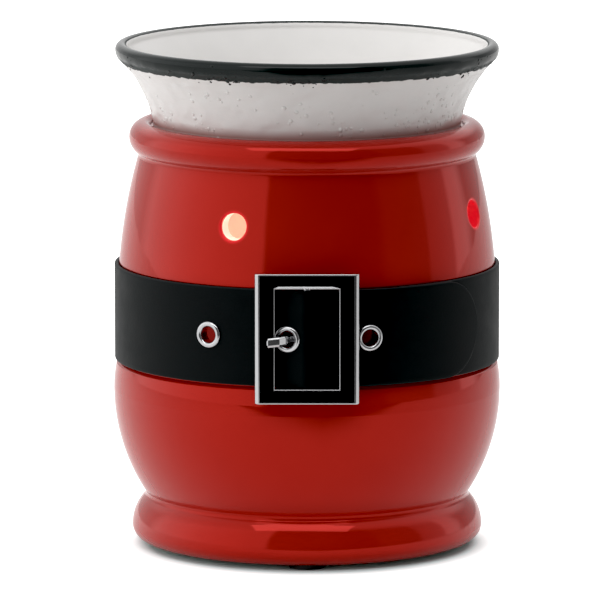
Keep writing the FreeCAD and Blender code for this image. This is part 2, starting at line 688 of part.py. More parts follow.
# Bulb: contact button, black insulator, ridged cap, globe, and the stem, leads and coil inside.
bulb_contact = turned_body(
    "bulb_contact",
    [("0", BUTTON), ("button_radius", BUTTON), ("button_radius", INSULATOR), ("0", INSULATOR)],
)
bulb_insulator = turned_body(
    "bulb_insulator",
    [("0", INSULATOR), ("button_radius", INSULATOR), ("cap_radius - thread_depth", CAP), ("0", CAP)],
)
RIDGES = int(number("cap_length / thread_pitch - 1"))
cap_corners = [("cap_radius - thread_depth - cap_thickness", CAP), ("cap_radius - thread_depth", CAP)]
cap_bends = {}
for ridge in range(RIDGES):
    low = f"{CAP} + {ridge} * thread_pitch"
    cap_bends[len(cap_corners) - 1] = (arc_radius("thread_depth / 2", "thread_pitch / 4"), -1)
    cap_corners.append(("cap_radius - thread_depth / 2", f"{low} + thread_pitch / 4"))
    cap_bends[len(cap_corners) - 1] = (arc_radius("thread_depth / 2", "thread_pitch / 4"), 1)
    cap_corners.append(("cap_radius - thread_depth / 2", f"{low} + 3 * thread_pitch / 4"))
    cap_bends[len(cap_corners) - 1] = (arc_radius("thread_depth / 2", "thread_pitch / 4"), -1)
    cap_corners.append(("cap_radius - thread_depth", f"{low} + thread_pitch"))
cap_corners += [
    ("globe_neck_radius + cap_thickness", f"{CAP} + {RIDGES} * thread_pitch"),
    ("globe_neck_radius + cap_thickness", GLASS),
    ("cap_radius - thread_depth - cap_thickness", GLASS),
]
bulb_cap = turned_body("bulb_cap", cap_corners, cap_bends)
GLOBE_IN = "(globe_radius - globe_wall)"
bulb_glass = turned_body(
    "bulb_glass",
    [
        ("globe_neck_radius - globe_wall", GLASS),
        ("globe_neck_radius", GLASS),
        ("globe_radius * cos(globe_join)", f"{GLOBE} - globe_radius * sin(globe_join)"),
        ("0", f"{GLOBE} + globe_radius"),
        ("0", f"{GLOBE} + {GLOBE_IN}"),
        (f"{GLOBE_IN} * cos(globe_join)", f"{GLOBE} - {GLOBE_IN} * sin(globe_join)"),
    ],
    {
        1: ("globe_neck_curve", -1),
        2: ("globe_radius", 1),
        4: (GLOBE_IN, -1),
        5: ("globe_neck_curve + globe_wall", 1),
    },
)
STEM_TOP = f"({GLASS} + stem_length)"
bulb_stem = turned_body(
    "bulb_stem",
    [
        ("0", GLASS),
        ("stem_foot_radius", GLASS),
        ("stem_radius", f"{GLASS} + stem_foot_radius"),
        ("stem_radius", STEM_TOP),
        ("0", STEM_TOP),
    ],
)
LEAD_TOP = f"({STEM_TOP} + lead_length)"
leads = []
for side in (-1, 1):
    wire = doc.addObject("Part::Cylinder", "left_lead" if side < 0 else "right_lead")
    spread = "(lead_spacing / 2 - stem_radius + lead_radius)"
    bind(wire, Radius="lead_radius", Height=f"sqrt({spread} ^ 2 + lead_length ^ 2)")
    lean = f"{side} * atan2({spread}; lead_length)"
    root = f"vector({side} * (stem_radius - lead_radius); 0; {STEM_TOP})"
    wire.setExpression("Placement", full(f"placement({root}; rotation(0; {lean}; 0))"))
    leads.append(wire)
filament_supports = together("filament_supports", leads)
filament = doc.addObject("Part::Cylinder", "filament")
bind(filament, Radius="filament_radius", Height="lead_spacing + 2 * lead_radius")
FILAMENT_BASE = f"vector(-lead_spacing / 2 - lead_radius; 0; {LEAD_TOP} + filament_radius + lead_radius)"
filament.setExpression("Placement", full(f"placement({FILAMENT_BASE}; rotation(0; 90; 0))"))

# Cord bush: rubber, pushed into the hole at the back of the foot until its flange meets the flat.
cord_gland = new_body("cord_gland")
GLAND_INNER = "(ring_radius - gland_tail)"
barrel = sketch_on(cord_gland, "XZ_Plane", "gland_barrel", lift="-gland_seat")
round_hole(barrel, "0", GLAND, "gland_bore + gland_wall")
pad(cord_gland, barrel, f"gland_seat - {GLAND_INNER}")
flange = sketch_on(cord_gland, "XZ_Plane", "gland_flange", lift="-gland_seat - gland_flange_height")
round_hole(flange, "0", GLAND, "gland_flange_radius")
pad(cord_gland, flange, "gland_flange_height")
bore = sketch_on(cord_gland, "XZ_Plane", "gland_bore_hole", lift=f"-{GLAND_INNER}")
round_hole(bore, "0", GLAND, "gland_bore")
pocket(cord_gland, bore, "2 * gland_seat")

# Strap: one leather band. It runs from under its own tail round the back, over the buckle's centre bar
# in straight runs, and on to the right as a tail with a round end that is glued over the start.


def on_strap(radius, angle):
    """A place on a level circle round the pot's axis."""
    return (f"{radius} * sin({angle})", f"-{radius} * cos({angle})")


def on_loop(radius, angle):
    """A place on a level circle round the centre bar."""
    return (f"{radius} * sin({angle})", f"-{BAR} - {radius} * cos({angle})")


strap_band = new_body("strap_band")
band_sketch = sketch_on(strap_band, "XY_Plane", "band_path", lift=BELT)
outline(
    band_sketch,
    [
        on_strap(STRAP_OUT, "strap_end_angle"),
        on_strap(STRAP_OUT, f"(-1 * {LEFT_TURN})"),
        on_loop(LOOP_OUT, f"(-1 * {LEFT_TURN})"),
        on_loop(LOOP_OUT, RIGHT_TURN),
        on_strap(TAIL_OUT, RIGHT_TURN),
        on_strap(TAIL_OUT, "tail_joint_angle"),
        on_strap(TAIL_IN, "tail_joint_angle"),
        on_strap(TAIL_IN, RIGHT_TURN),
        on_loop(LOOP_IN, RIGHT_TURN),
        on_loop(LOOP_IN, f"(-1 * {LEFT_TURN})"),
        on_strap(STRAP_IN, f"(-1 * {LEFT_TURN})"),
        on_strap(STRAP_IN, "strap_end_angle"),
    ],
    {
        0: (STRAP_OUT, 1, "long"),
        2: (LOOP_OUT, 1),
        4: (TAIL_OUT, 1),
        6: (TAIL_IN, -1),
        8: (LOOP_IN, -1),
        10: (STRAP_IN, -1, "long"),
    },
)
pad(strap_band, band_sketch, "strap_width", both_ways=True)
STRAP_MIDDLE = f"({STRAP_IN} + strap_thickness / 2)"
TAIL_MIDDLE = f"({TAIL_IN} + strap_thickness / 2)"
LOOP_MIDDLE = f"({LOOP_IN} + strap_thickness / 2)"
BEFORE_RUN = f"(eyelet_reach + eyelet_pitch - {LEFT_RUN})"
LEFT_EYELET = f"(-1 * {LEFT_TURN} - {BEFORE_RUN} / {STRAP_MIDDLE} * {DEGREES} * 1 deg)"
LOOP_LENGTH = f"(({LEFT_TURN} + {RIGHT_TURN}) / 1 deg / {DEGREES} * {LOOP_MIDDLE})"
PAST_RUN = f"(eyelet_pitch - eyelet_reach - {LOOP_LENGTH} - {RIGHT_RUN})"
RIGHT_EYELET = f"({RIGHT_TURN} + {PAST_RUN} / {TAIL_MIDDLE} * {DEGREES} * 1 deg)"
EYELET_HOLE = "eyelet_bore + eyelet_barrel + eyelet_clearance"
eyelet_places = [
    ("left_eyelet", LEFT_EYELET, "0", STRAP_OUT),
    ("middle_eyelet", f"(-1 * {LEFT_TURN})", f"({LEFT_RUN} - eyelet_reach)", STRAP_OUT),
    ("right_eyelet", RIGHT_EYELET, "0", TAIL_OUT),
]
for name, angle, across, surface in eyelet_places:
    hole = sketch_on(strap_band, "XZ_Plane", name + "_hole", turn=angle)
    round_hole(hole, across, BELT, EYELET_HOLE)
    pocket(strap_band, hole, "2 * belly_radius", outward=True)
strap_tail = new_body("strap_tail")
tail_sketch = sketch_on(strap_tail, "XY_Plane", "tail_path", lift=BELT)
outline(
    tail_sketch,
    [
        on_strap(TAIL_OUT, "tail_joint_angle"),
        on_strap(TAIL_OUT, "tail_tip_angle"),
        on_strap(TAIL_IN, "tail_tip_angle"),
        on_strap(TAIL_IN, "tail_joint_angle"),
    ],
    {0: (TAIL_OUT, 1), 2: (TAIL_IN, -1)},
)
pad(strap_tail, tail_sketch, "strap_width", both_ways=True)
TIP_VIEW = f"(tail_tip_angle - strap_width / 4 / {TAIL_OUT} * {DEGREES})"
TIP_REACH = f"({TAIL_OUT} * sin(tail_tip_angle - {TIP_VIEW}))"
for side, name in (("-", "lower"), ("+", "upper")):
    trim = sketch_on(strap_tail, "XZ_Plane", name + "_tip_trim", turn=TIP_VIEW)
    edge = f"{BELT} {side} strap_width / 2"
    beyond = f"{BELT} {side} strap_width"
    outline(
        trim,
        [
            (f"{TIP_REACH} - strap_width / 2", edge),
            (TIP_REACH, BELT),
            (f"{TIP_REACH} + strap_width", BELT),
            (f"{TIP_REACH} + strap_width", beyond),
            (f"{TIP_REACH} - strap_width / 2", beyond),
        ],
        {0: ("strap_width / 2", 1 if side == "-" else -1)},
    )
    pocket(strap_tail, trim, "2 * belly_radius", outward=True)
belt_strap = doc.addObject("Part::Fuse", "belt_strap")
belt_strap.Label = "belt_strap"
belt_strap.Base = strap_band
belt_strap.Tool = strap_tail
belt_strap.Refine = True

# Eyelets: pressed metal, each with a rolled flange outside and its barrel through the strap.
eyelets = []
for name, angle, across, surface in eyelet_places:
    flange_join = "eyelet_bore + eyelet_barrel"
    body = turned_body(
        name,
        [
            ("eyelet_bore", "-strap_thickness"),
            (flange_join, "-strap_thickness"),
            (flange_join, "0"),
            ("eyelet_flange_radius", "0"),
            ("eyelet_bore", "0"),
        ],
        {3: (arc_radius("eyelet_flange_height", "(eyelet_flange_radius - eyelet_bore) / 2"), 1)},
    )
    x = f"{across} * cos({angle}) + {surface} * sin({angle})"
    y = f"{across} * sin({angle}) - {surface} * cos({angle})"
    body.setExpression("Placement", full(f"placement(vector({x}; {y}; {BELT}); rotation({angle}; 0; 90))"))
    eyelets.append(body)
belt_eyelets = together("belt_eyelets", eyelets)

# Buckle: die-cast frame with its centre bar, waisted for the prong, and a black face let into the front.
BAR_HALF = f"({WINDOW_HEIGHT} / 2 + bar_root)"
WAIST = "(prong_width / 2 + prong_side_gap)"
EYE_BORE = "(bar_radius - prong_eye_wall)"
buckle_frame = new_body("buckle_frame")
frame_sketch = sketch_on(buckle_frame, "XZ_Plane", "frame_ring", lift=FRAME_BACK)
rectangle(frame_sketch, "frame_width", "frame_height", BUCKLE)
rectangle(frame_sketch, "window_width", WINDOW_HEIGHT, BUCKLE)
pad(buckle_frame, frame_sketch, "frame_thickness")


def front_edge(edge):
    """Whether an edge lies in the frame's front face."""
    box = edge.BoundBox
    return abs(box.YMin + number(FRAME_FRONT)) < 1e-6 and abs(box.YMax + number(FRAME_FRONT)) < 1e-6


def side_edge(edge):
    """Whether an edge of the front face is its left or right one."""
    return front_edge(edge) and abs(abs(edge.BoundBox.Center.x) - number("frame_width / 2")) < 1e-6


def end_edge(edge):
    """Whether an edge borders the frame's top or bottom, away from its back."""
    box = edge.BoundBox
    level = abs(abs(box.Center.z - number(BUCKLE)) - number("frame_height / 2")) < 1e-6 and box.ZLength < 1e-6
    return level and box.YMin < number(f"-1 * {FRAME_BACK}") - 1e-6


def in_window(edge):
    """Whether an edge borders the window."""
    middle = edge.BoundBox.Center
    across = abs(middle.x) < number("window_width / 2 + window_round")
    return across and abs(middle.z - number(BUCKLE)) < number(f"{WINDOW_HEIGHT} / 2 + window_round")


soften(buckle_frame, "frame_round", side_edge)
soften(buckle_frame, "frame_end_round", end_edge)
soften(buckle_frame, "window_round", lambda edge: front_edge(edge) and in_window(edge))


def face_ring(sketch):
    """The outline of the black face, between the frame's rounded edges."""
    rectangle(
        sketch,
        "frame_width - 2 * enamel_side_margin",
        "frame_height - 2 * enamel_end_margin",
        BUCKLE,
    )
    rectangle(
        sketch,
        "window_width + 2 * enamel_inner_margin",
        f"{WINDOW_HEIGHT} + 2 * enamel_inner_margin",
        BUCKLE,
    )


recess_sketch = sketch_on(buckle_frame, "XZ_Plane", "face_recess", lift=FRAME_FRONT)
face_ring(recess_sketch)
pocket(buckle_frame, recess_sketch, "enamel_depth")
bar_sketch = sketch_on(buckle_frame, "XZ_Plane", "centre_bar", lift=BAR)
WAIST_RADIUS = f"({EYE_BORE} - prong_eye_clearance)"
outline(
    bar_sketch,
    [
        ("0", f"{BUCKLE} - {BAR_HALF}"),
        ("bar_radius", f"{BUCKLE} - {BAR_HALF}"),
        ("bar_radius", f"{BELT} - {WAIST}"),
        (WAIST_RADIUS, f"{BELT} - {WAIST}"),
        (WAIST_RADIUS, f"{BELT} + {WAIST}"),
        ("bar_radius", f"{BELT} + {WAIST}"),
        ("bar_radius", f"{BUCKLE} + {BAR_HALF}"),
        ("0", f"{BUCKLE} + {BAR_HALF}"),
    ],
)
revolve(buckle_frame, bar_sketch)
buckle_enamel = new_body("buckle_enamel")
inlay_sketch = sketch_on(buckle_enamel, "XZ_Plane", "face_inlay", lift=f"{FRAME_FRONT} - enamel_depth")
face_ring(inlay_sketch)
pad(buckle_enamel, inlay_sketch, "enamel_depth")

# Prong: bent wire. Its eye turns on the bar's waist, and it comes up through the middle eyelet
# and rests on the left side of the frame.
PRONG_HALF = "prong_thickness / 2"
PRONG_LOW = f"(sqrt(channel_radius ^ 2 - prong_bend ^ 2) + prong_gap + {PRONG_HALF})"
PRONG_TOP = f"({FRAME_FRONT} + prong_rest + {PRONG_HALF})"
prong_line = [
    ("0", BAR),
    ("-prong_bend", PRONG_LOW),
    ("-(window_width / 2 - prong_rise)", PRONG_TOP),
    ("-prong_reach", PRONG_TOP),
]
buckle_prong = new_body("buckle_prong")
prong_sketch = sketch_on(buckle_prong, "XY_Plane", "prong_side", lift=BELT)
front_line = [(x, f"-{out} - {PRONG_HALF}") for x, out in prong_line]
back_line = [(x, f"-{out} + {PRONG_HALF}") for x, out in reversed(prong_line)]
outline(prong_sketch, front_line + back_line)
pad(buckle_prong, prong_sketch, "prong_width", both_ways=True)


def prong_tip(edge):
    """Whether an edge runs from front to back at the prong's tip."""
    box = edge.BoundBox
    return abs(box.XMin + number("prong_reach")) < 1e-6 and box.XLength < 1e-6 and box.ZLength < 1e-6


def prong_front(edge):
    """Whether an edge borders the outer face of the prong, away from its eye."""
    box = edge.BoundBox
    out = number(f"{PRONG_TOP} + {PRONG_HALF}")
    return abs(box.YMin + out) < 1e-6 and abs(box.YMax + out) < 1e-6 and box.XLength > number(PRONG_HALF) / 2


soften(buckle_prong, "prong_width * 0.4", prong_tip)
soften(buckle_prong, "prong_round", prong_front)
eye_sketch = sketch_on(buckle_prong, "XY_Plane", "prong_eye", lift=BELT)
round_hole(eye_sketch, "0", f"-{BAR}", "bar_radius - prong_eye_clearance")
pad(buckle_prong, eye_sketch, "prong_width", both_ways=True)
eye_bore = sketch_on(buckle_prong, "XY_Plane", "prong_eye_bore", lift=BELT)
round_hole(eye_bore, "0", f"-{BAR}", EYE_BORE)
pocket(buckle_prong, eye_bore, "2 * prong_width", both_ways=True)

doc.recompute()
PIECES = [
    pot_body,
    wax_dish,
    belt_strap,
    belt_eyelets,
    buckle_frame,
    buckle_enamel,
    buckle_prong,
    rubber_feet,
    base_plate,
    bridge_bracket,
    clamp_screws,
    lamp_holder_body,
    holder_screw,
    lamp_holder_shell,
    lamp_holder_contact,
    terminal_screws,
    bulb_cap,
    bulb_insulator,
    bulb_contact,
    bulb_glass,
    bulb_stem,
    filament_supports,
    filament,
    cord_gland,
]
for item in doc.Objects:
    if {"Invalid", "Error"} & set(item.State):
        raise RuntimeError(f"{item.Label} did not compute")
for piece in PIECES:
    if piece.Shape.isNull() or not piece.Shape.isValid():
        raise RuntimeError(f"{piece.Label} has no valid shape")
os.makedirs("parts", exist_ok=True)
for piece in PIECES:
    piece.Shape.exportStep(f"parts/{piece.Label}.step")
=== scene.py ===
"""Looks of an electric wax warmer: a red glazed pot with a buckled strap, a white dish and a lamp inside.

Metres, +Z up, the buckle towards -Y. The object's own sizes are in millimetres, which MM turns to metres.
"""

import math

import bmesh
import bpy
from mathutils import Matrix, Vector, noise


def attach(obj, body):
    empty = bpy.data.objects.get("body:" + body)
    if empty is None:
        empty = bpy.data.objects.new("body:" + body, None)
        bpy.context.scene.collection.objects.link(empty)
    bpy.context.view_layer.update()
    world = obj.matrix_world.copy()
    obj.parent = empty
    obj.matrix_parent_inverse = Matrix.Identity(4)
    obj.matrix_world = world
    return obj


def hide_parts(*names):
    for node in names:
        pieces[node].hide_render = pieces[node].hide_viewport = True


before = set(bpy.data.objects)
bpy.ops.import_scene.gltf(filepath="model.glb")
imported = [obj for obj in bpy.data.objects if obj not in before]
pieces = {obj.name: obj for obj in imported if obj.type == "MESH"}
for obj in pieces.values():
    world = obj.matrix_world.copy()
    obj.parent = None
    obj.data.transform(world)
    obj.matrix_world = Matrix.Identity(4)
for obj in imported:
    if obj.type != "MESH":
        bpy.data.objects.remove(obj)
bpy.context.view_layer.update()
scene = bpy.context.scene
MM = 0.001

# Pot: slip-cast earthenware in a thick gloss glaze, bare and cream inside and under the foot.
# The lamp shines out of the round holes in its shoulder, and the strap lies in a shallow channel.


def paint(code):
    """Linear colour of an sRGB hex value."""
    channels = [int(code[i : i + 2], 16) / 255 for i in (1, 3, 5)]
    return tuple(c / 12.92 if c <= 0.04045 else ((c + 0.055) / 1.055) ** 2.4 for c in channels) + (1.0,)


def node(tree, kind, inputs=None, **settings):
    """Adds a node. An input is a plain value or another node's output."""
    added = tree.nodes.new(kind)
    for name, value in settings.items():
        setattr(added, name, value)
    for name, value in (inputs or {}).items():
        if isinstance(value, bpy.types.NodeSocket):
            tree.links.new(value, added.inputs[name])
        else:
            added.inputs[name].default_value = value
    return added


def finish(name):
    """A new material, its node tree, its shader and the piece's own coordinates."""
    material = bpy.data.materials.new(name)
    material.use_nodes = True
    tree = material.node_tree
    return material, tree, tree.nodes["Principled BSDF"], node(tree, "ShaderNodeTexCoord").outputs["Object"]


def wear(material, *names):
    """Puts a material on pieces that came with the frame."""
    for name in names:
        pieces[name].data.materials.clear()
        pieces[name].data.materials.append(material)


# Red glaze: glassy and even, deeper where it ran thick, and darker in the strap's channel, which is painted shade of
# the strap. Its colour also tints what it reflects. It ends at the middle of the wall, so the inside and the holes are
# bare, except for the right hole, where it ran in. A painted glow round each hole stands in for the lamp's light on
# it.
RED_THIN = paint("#9e251c")
RED_THICK = paint("#922018")
RED_CHANNEL_PAINTED_SHADE = paint("#4a0e0a")
BISQUE = paint("#e6dad1")
GLOW_BARE = paint("#ffdcc4")
GLOW_RED = paint("#ff2c40")
RED_GLEAM = paint("#ff5550")
FULL_HEIGHT, FULL_RADIUS = 128.3, 60
HOLE_HEIGHT, HOLE_TURN, HOLE_RADIUS, PAINTED_GLOW_RADIUS = 102.85, -23.6, 4.0, 5.6
RUN_RADIUS, RUN_EDGE, RUN_DEPTH, RUN_START, RUN_FULL = 4.6, 5.0, 6, 30, 34
GLAZE_EDGE, BARE_ROUGH, GLAZED_ROUGH = 0.2, 0.85, 0.035
PAINTED_GLOW_FALL, BARE_GLOW, GLAZED_GLOW = 2.0, 0.6, 0.4
CHANNEL_MIDDLE, CHANNEL_REACH = 70.9, 14.6
red_glaze, tree, shader, place = finish("red_glazed_earthenware")
split = node(tree, "ShaderNodeSeparateXYZ", {0: place})
level = node(tree, "ShaderNodeVectorMath", {0: place, 1: (1, 1, 0)}, operation="MULTIPLY")
radius = node(tree, "ShaderNodeVectorMath", {0: level.outputs[0]}, operation="LENGTH").outputs["Value"]
height_share = node(tree, "ShaderNodeMath", {0: split.outputs["Z"], 1: FULL_HEIGHT * MM}, operation="DIVIDE")
mid_wall = node(tree, "ShaderNodeFloatCurve", {"Value": height_share.outputs[0]})
# Heights and radii of the middle of the wall, from the foot to the mouth.
WALL_MIDDLE = [(1.5, 49.6), (2.2, 46), (15, 45.2), (31, 53), (47.5, 56.1), (55, 54.6), (85.5, 54.4)]
WALL_MIDDLE += [(97, 53.1), (98, 54.2), (102.85, 53.4), (108.5, 52.2), (109.5, 50.7)]
WALL_MIDDLE += [(114, 48.6), (119.4, 46.4), (120.4, 40)]
curve = mid_wall.mapping.curves[0]
curve.points[0].location = (0, WALL_MIDDLE[0][1] / FULL_RADIUS)
curve.points[1].location = (1, WALL_MIDDLE[-1][1] / FULL_RADIUS)
for up, out in WALL_MIDDLE:
    curve.points.new(up / FULL_HEIGHT, out / FULL_RADIUS)
for point in curve.points:
    point.handle_type = "VECTOR"
mid_wall.mapping.update()
wall_radius = node(tree, "ShaderNodeMath", {0: mid_wall.outputs[0], 1: FULL_RADIUS * MM}, operation="MULTIPLY")
past_middle = node(tree, "ShaderNodeMath", {0: radius, 1: wall_radius.outputs[0]}, operation="SUBTRACT")
first_hole = node(
    tree,
    "ShaderNodeMapping",
    {"Vector": place, "Rotation": (0, 0, math.radians(-HOLE_TURN)), "Location": (0, 0, -HOLE_HEIGHT * MM)},
)
turned_place = node(tree, "ShaderNodeSeparateXYZ", {0: first_hole.outputs[0]})
sideways = node(tree, "ShaderNodeMath", {0: turned_place.outputs["X"]}, operation="ABSOLUTE")
forward = node(tree, "ShaderNodeMath", {0: turned_place.outputs["Y"]}, operation="ABSOLUTE")
across = node(tree, "ShaderNodeMath", {0: sideways.outputs[0], 1: forward.outputs[0]}, operation="MINIMUM")
to_axis = node(tree, "ShaderNodeCombineXYZ", {"X": across.outputs[0], "Z": turned_place.outputs["Z"]})
from_hole = node(tree, "ShaderNodeVectorMath", {0: to_axis.outputs[0]}, operation="LENGTH").outputs["Value"]
near_hole = node(
    tree, "ShaderNodeMapRange", {"Value": from_hole, "From Min": RUN_EDGE * MM, "From Max": RUN_RADIUS * MM}
)
right_side = node(
    tree,
    "ShaderNodeMapRange",
    {"Value": split.outputs["X"], "From Min": RUN_START * MM, "From Max": RUN_FULL * MM},
)
ran_in = node(tree, "ShaderNodeMath", {0: near_hole.outputs[0], 1: right_side.outputs[0]}, operation="MULTIPLY")
past_edge = node(
    tree,
    "ShaderNodeMath",
    {0: ran_in.outputs[0], 1: RUN_DEPTH * MM, 2: past_middle.outputs[0]},
    operation="MULTIPLY_ADD",
)
glazed = node(
    tree,
    "ShaderNodeMapRange",
    {"Value": past_edge.outputs[0], "From Min": -GLAZE_EDGE * MM, "From Max": GLAZE_EDGE * MM},
).outputs[0]
pooling = node(tree, "ShaderNodeTexNoise", {"Vector": place, "Scale": 1 / (22 * MM), "Detail": 3.0})
red = node(
    tree, "ShaderNodeMix", {0: pooling.outputs["Fac"], 6: RED_THICK, 7: RED_THIN}, data_type="RGBA"
).outputs[2]
# Painted shade: the glaze is darker in the strap's channel, where the strap shades it.
channel_shade_mask = node(
    tree,
    "ShaderNodeMath",
    {0: split.outputs["Z"], 1: CHANNEL_MIDDLE * MM, 2: CHANNEL_REACH * MM},
    operation="COMPARE",
)
deep = node(
    tree, "ShaderNodeMix", {0: channel_shade_mask.outputs[0], 6: red, 7: RED_CHANNEL_PAINTED_SHADE}, data_type="RGBA"
).outputs[2]
tone = node(tree, "ShaderNodeMix", {0: glazed, 6: BISQUE, 7: deep}, data_type="RGBA").outputs[2]
gloss = node(tree, "ShaderNodeMapRange", {"Value": glazed, "To Min": BARE_ROUGH, "To Max": GLAZED_ROUGH}).outputs[0]
swell = node(tree, "ShaderNodeTexNoise", {"Vector": place, "Scale": 1 / (9 * MM), "Detail": 1.0})
relief = node(tree, "ShaderNodeBump", {"Height": swell.outputs["Fac"], "Strength": 0.12, "Distance": 0.12 * MM})
# Painted glow: emission on the glaze and the bare wall, strongest in and at each hole, stands in for the lamp's light
# there.
painted_glow_reach = node(
    tree,
    "ShaderNodeMapRange",
    {"Value": from_hole, "From Min": PAINTED_GLOW_RADIUS * MM, "From Max": HOLE_RADIUS * MM},
    interpolation_type="SMOOTHERSTEP",
)
faded = node(tree, "ShaderNodeMath", {0: painted_glow_reach.outputs[0], 1: PAINTED_GLOW_FALL}, operation="POWER")
painted_glow_share = node(tree, "ShaderNodeMapRange", {"Value": glazed, "To Min": BARE_GLOW, "To Max": GLAZED_GLOW})
glow = node(tree, "ShaderNodeMath", {0: faded.outputs[0], 1: painted_glow_share.outputs[0]}, operation="MULTIPLY")
glow_tone = node(tree, "ShaderNodeMix", {0: glazed, 6: GLOW_BARE, 7: GLOW_RED}, data_type="RGBA")
tree.links.new(tone, shader.inputs["Base Color"])
tree.links.new(gloss, shader.inputs["Roughness"])
tree.links.new(relief.outputs[0], shader.inputs["Normal"])
tree.links.new(glow.outputs[0], shader.inputs["Emission Strength"])
tree.links.new(glow_tone.outputs[2], shader.inputs["Emission Color"])
shader.inputs["Specular Tint"].default_value = RED_GLEAM
shader.inputs["IOR"].default_value = 2.05
wear(red_glaze, "pot_body")

# Foot pads and cord bush: moulded rubber, the pads stuck under the foot and the bush pushed in at the back.
# The rubber is nearly black and dull, with a faint bloom and fine pores, drawn coarse enough to show.
black_rubber, tree, shader, place = finish("moulded_rubber")
bloom = node(tree, "ShaderNodeTexNoise", {"Vector": place, "Scale": 1 / (3 * MM), "Detail": 4.0})
tone = node(
    tree,
    "ShaderNodeMix",
    {0: bloom.outputs["Fac"], 6: paint("#121212"), 7: paint("#262626")},
    data_type="RGBA",
)
pores = node(tree, "ShaderNodeTexNoise", {"Vector": place, "Scale": 1 / (0.4 * MM)})
relief = node(tree, "ShaderNodeBump", {"Height": pores.outputs["Fac"], "Strength": 0.3, "Distance": 0.05 * MM})
tree.links.new(tone.outputs[2], shader.inputs["Base Color"])
tree.links.new(relief.outputs[0], shader.inputs["Normal"])
shader.inputs["Roughness"].default_value = 0.7
wear(black_rubber, "rubber_feet", "cord_gland")

# Base plate, bridge and screws: zinc plated steel, the plate drawn up into the foot by two screws.
# The plating is pale grey with faint spangles, and hazy along the way that the steel was drawn. The lamp's lead
# wires and the contact at its end share this look.
zinc_plate, tree, shader, place = finish("zinc_plated_steel")
spangle = node(tree, "ShaderNodeTexVoronoi", {"Vector": place, "Scale": 1 / (4 * MM)})
tone = node(
    tree,
    "ShaderNodeMix",
    {0: spangle.outputs["Distance"], 6: paint("#b9bcbd"), 7: paint("#a3a7aa")},
    data_type="RGBA",
)
drawn = node(tree, "ShaderNodeMapping", {"Vector": place, "Scale": (1, 30, 30)})
strokes = node(tree, "ShaderNodeTexNoise", {"Vector": drawn.outputs[0], "Scale": 1 / (9 * MM), "Detail": 3.0})
haze = node(tree, "ShaderNodeMapRange", {"Value": strokes.outputs["Fac"], "To Min": 0.28, "To Max": 0.48})
tree.links.new(tone.outputs[2], shader.inputs["Base Color"])
tree.links.new(haze.outputs[0], shader.inputs["Roughness"])
shader.inputs["Metallic"].default_value = 1.0
wear(zinc_plate, "base_plate", "bridge_bracket", "clamp_screws", "holder_screw", "filament_supports", "bulb_contact")

# Lamp holder: a cream heat-proof moulding, screwed to the bridge, with a brass shell, centre contact and wire
# terminals. The moulding is smooth and half matt, with slight flow marks.
cream_moulding, tree, shader, place = finish("urea_moulding")
flow = node(tree, "ShaderNodeTexNoise", {"Vector": place, "Scale": 1 / (8 * MM), "Detail": 5.0})
tone = node(
    tree,
    "ShaderNodeMix",
    {0: flow.outputs["Fac"], 6: paint("#d9d0bd"), 7: paint("#e8e1d2")},
    data_type="RGBA",
)
skin = node(tree, "ShaderNodeBump", {"Height": flow.outputs["Fac"], "Strength": 0.15, "Distance": 0.05 * MM})
tree.links.new(tone.outputs[2], shader.inputs["Base Color"])
tree.links.new(skin.outputs[0], shader.inputs["Normal"])
shader.inputs["Roughness"].default_value = 0.42
wear(cream_moulding, "lamp_holder_body")

# Brass: pressed, yellow and half bright, duller where it has tarnished.
pressed_brass, tree, shader, place = finish("pressed_brass")
tarnish = node(tree, "ShaderNodeTexNoise", {"Vector": place, "Scale": 1 / (5 * MM), "Detail": 4.0})
tone = node(
    tree,
    "ShaderNodeMix",
    {0: tarnish.outputs["Fac"], 6: paint("#c9a24a"), 7: paint("#dcbc66")},
    data_type="RGBA",
)
dull = node(tree, "ShaderNodeMapRange", {"Value": tarnish.outputs["Fac"], "To Min": 0.2, "To Max": 0.4})
tree.links.new(tone.outputs[2], shader.inputs["Base Color"])
tree.links.new(dull.outputs[0], shader.inputs["Roughness"])
shader.inputs["Metallic"].default_value = 1.0
wear(pressed_brass, "lamp_holder_shell", "lamp_holder_contact", "terminal_screws")

# Lamp: a small lit globe on a rolled aluminium cap, screwed into the holder. The glass is etched inside, so the
# whole globe glows and hides the wire in it. The etching is drawn coarse enough to show.
lit_globe, tree, shader, place = finish("etched_lamp_glass")
etch = node(tree, "ShaderNodeTexNoise", {"Vector": place, "Scale": 1 / (0.8 * MM), "Detail": 2.0})
frost = node(tree, "ShaderNodeMapRange", {"Value": etch.outputs["Fac"], "To Min": 0.25, "To Max": 0.45})
tree.links.new(frost.outputs[0], shader.inputs["Roughness"])
shader.inputs["Base Color"].default_value = paint("#fff4e6")
shader.inputs["Transmission Weight"].default_value = 0.6
shader.inputs["Emission Color"].default_value = paint("#ffe4d5")
shader.inputs["Emission Strength"].default_value = 1.4
wear(lit_globe, "bulb_glass")

# Stem: drawn glass, clear and a little rippled.
clear_stem, tree, shader, place = finish("drawn_lamp_glass")
ripple = node(tree, "ShaderNodeTexNoise", {"Vector": place, "Scale": 1 / (2 * MM)})
relief = node(tree, "ShaderNodeBump", {"Height": ripple.outputs["Fac"], "Strength": 0.2, "Distance": 0.05 * MM})
tree.links.new(relief.outputs[0], shader.inputs["Normal"])
shader.inputs["Base Color"].default_value = paint("#f4f2ec")
shader.inputs["Roughness"].default_value = 0.05
shader.inputs["Transmission Weight"].default_value = 1.0
wear(clear_stem, "bulb_stem")

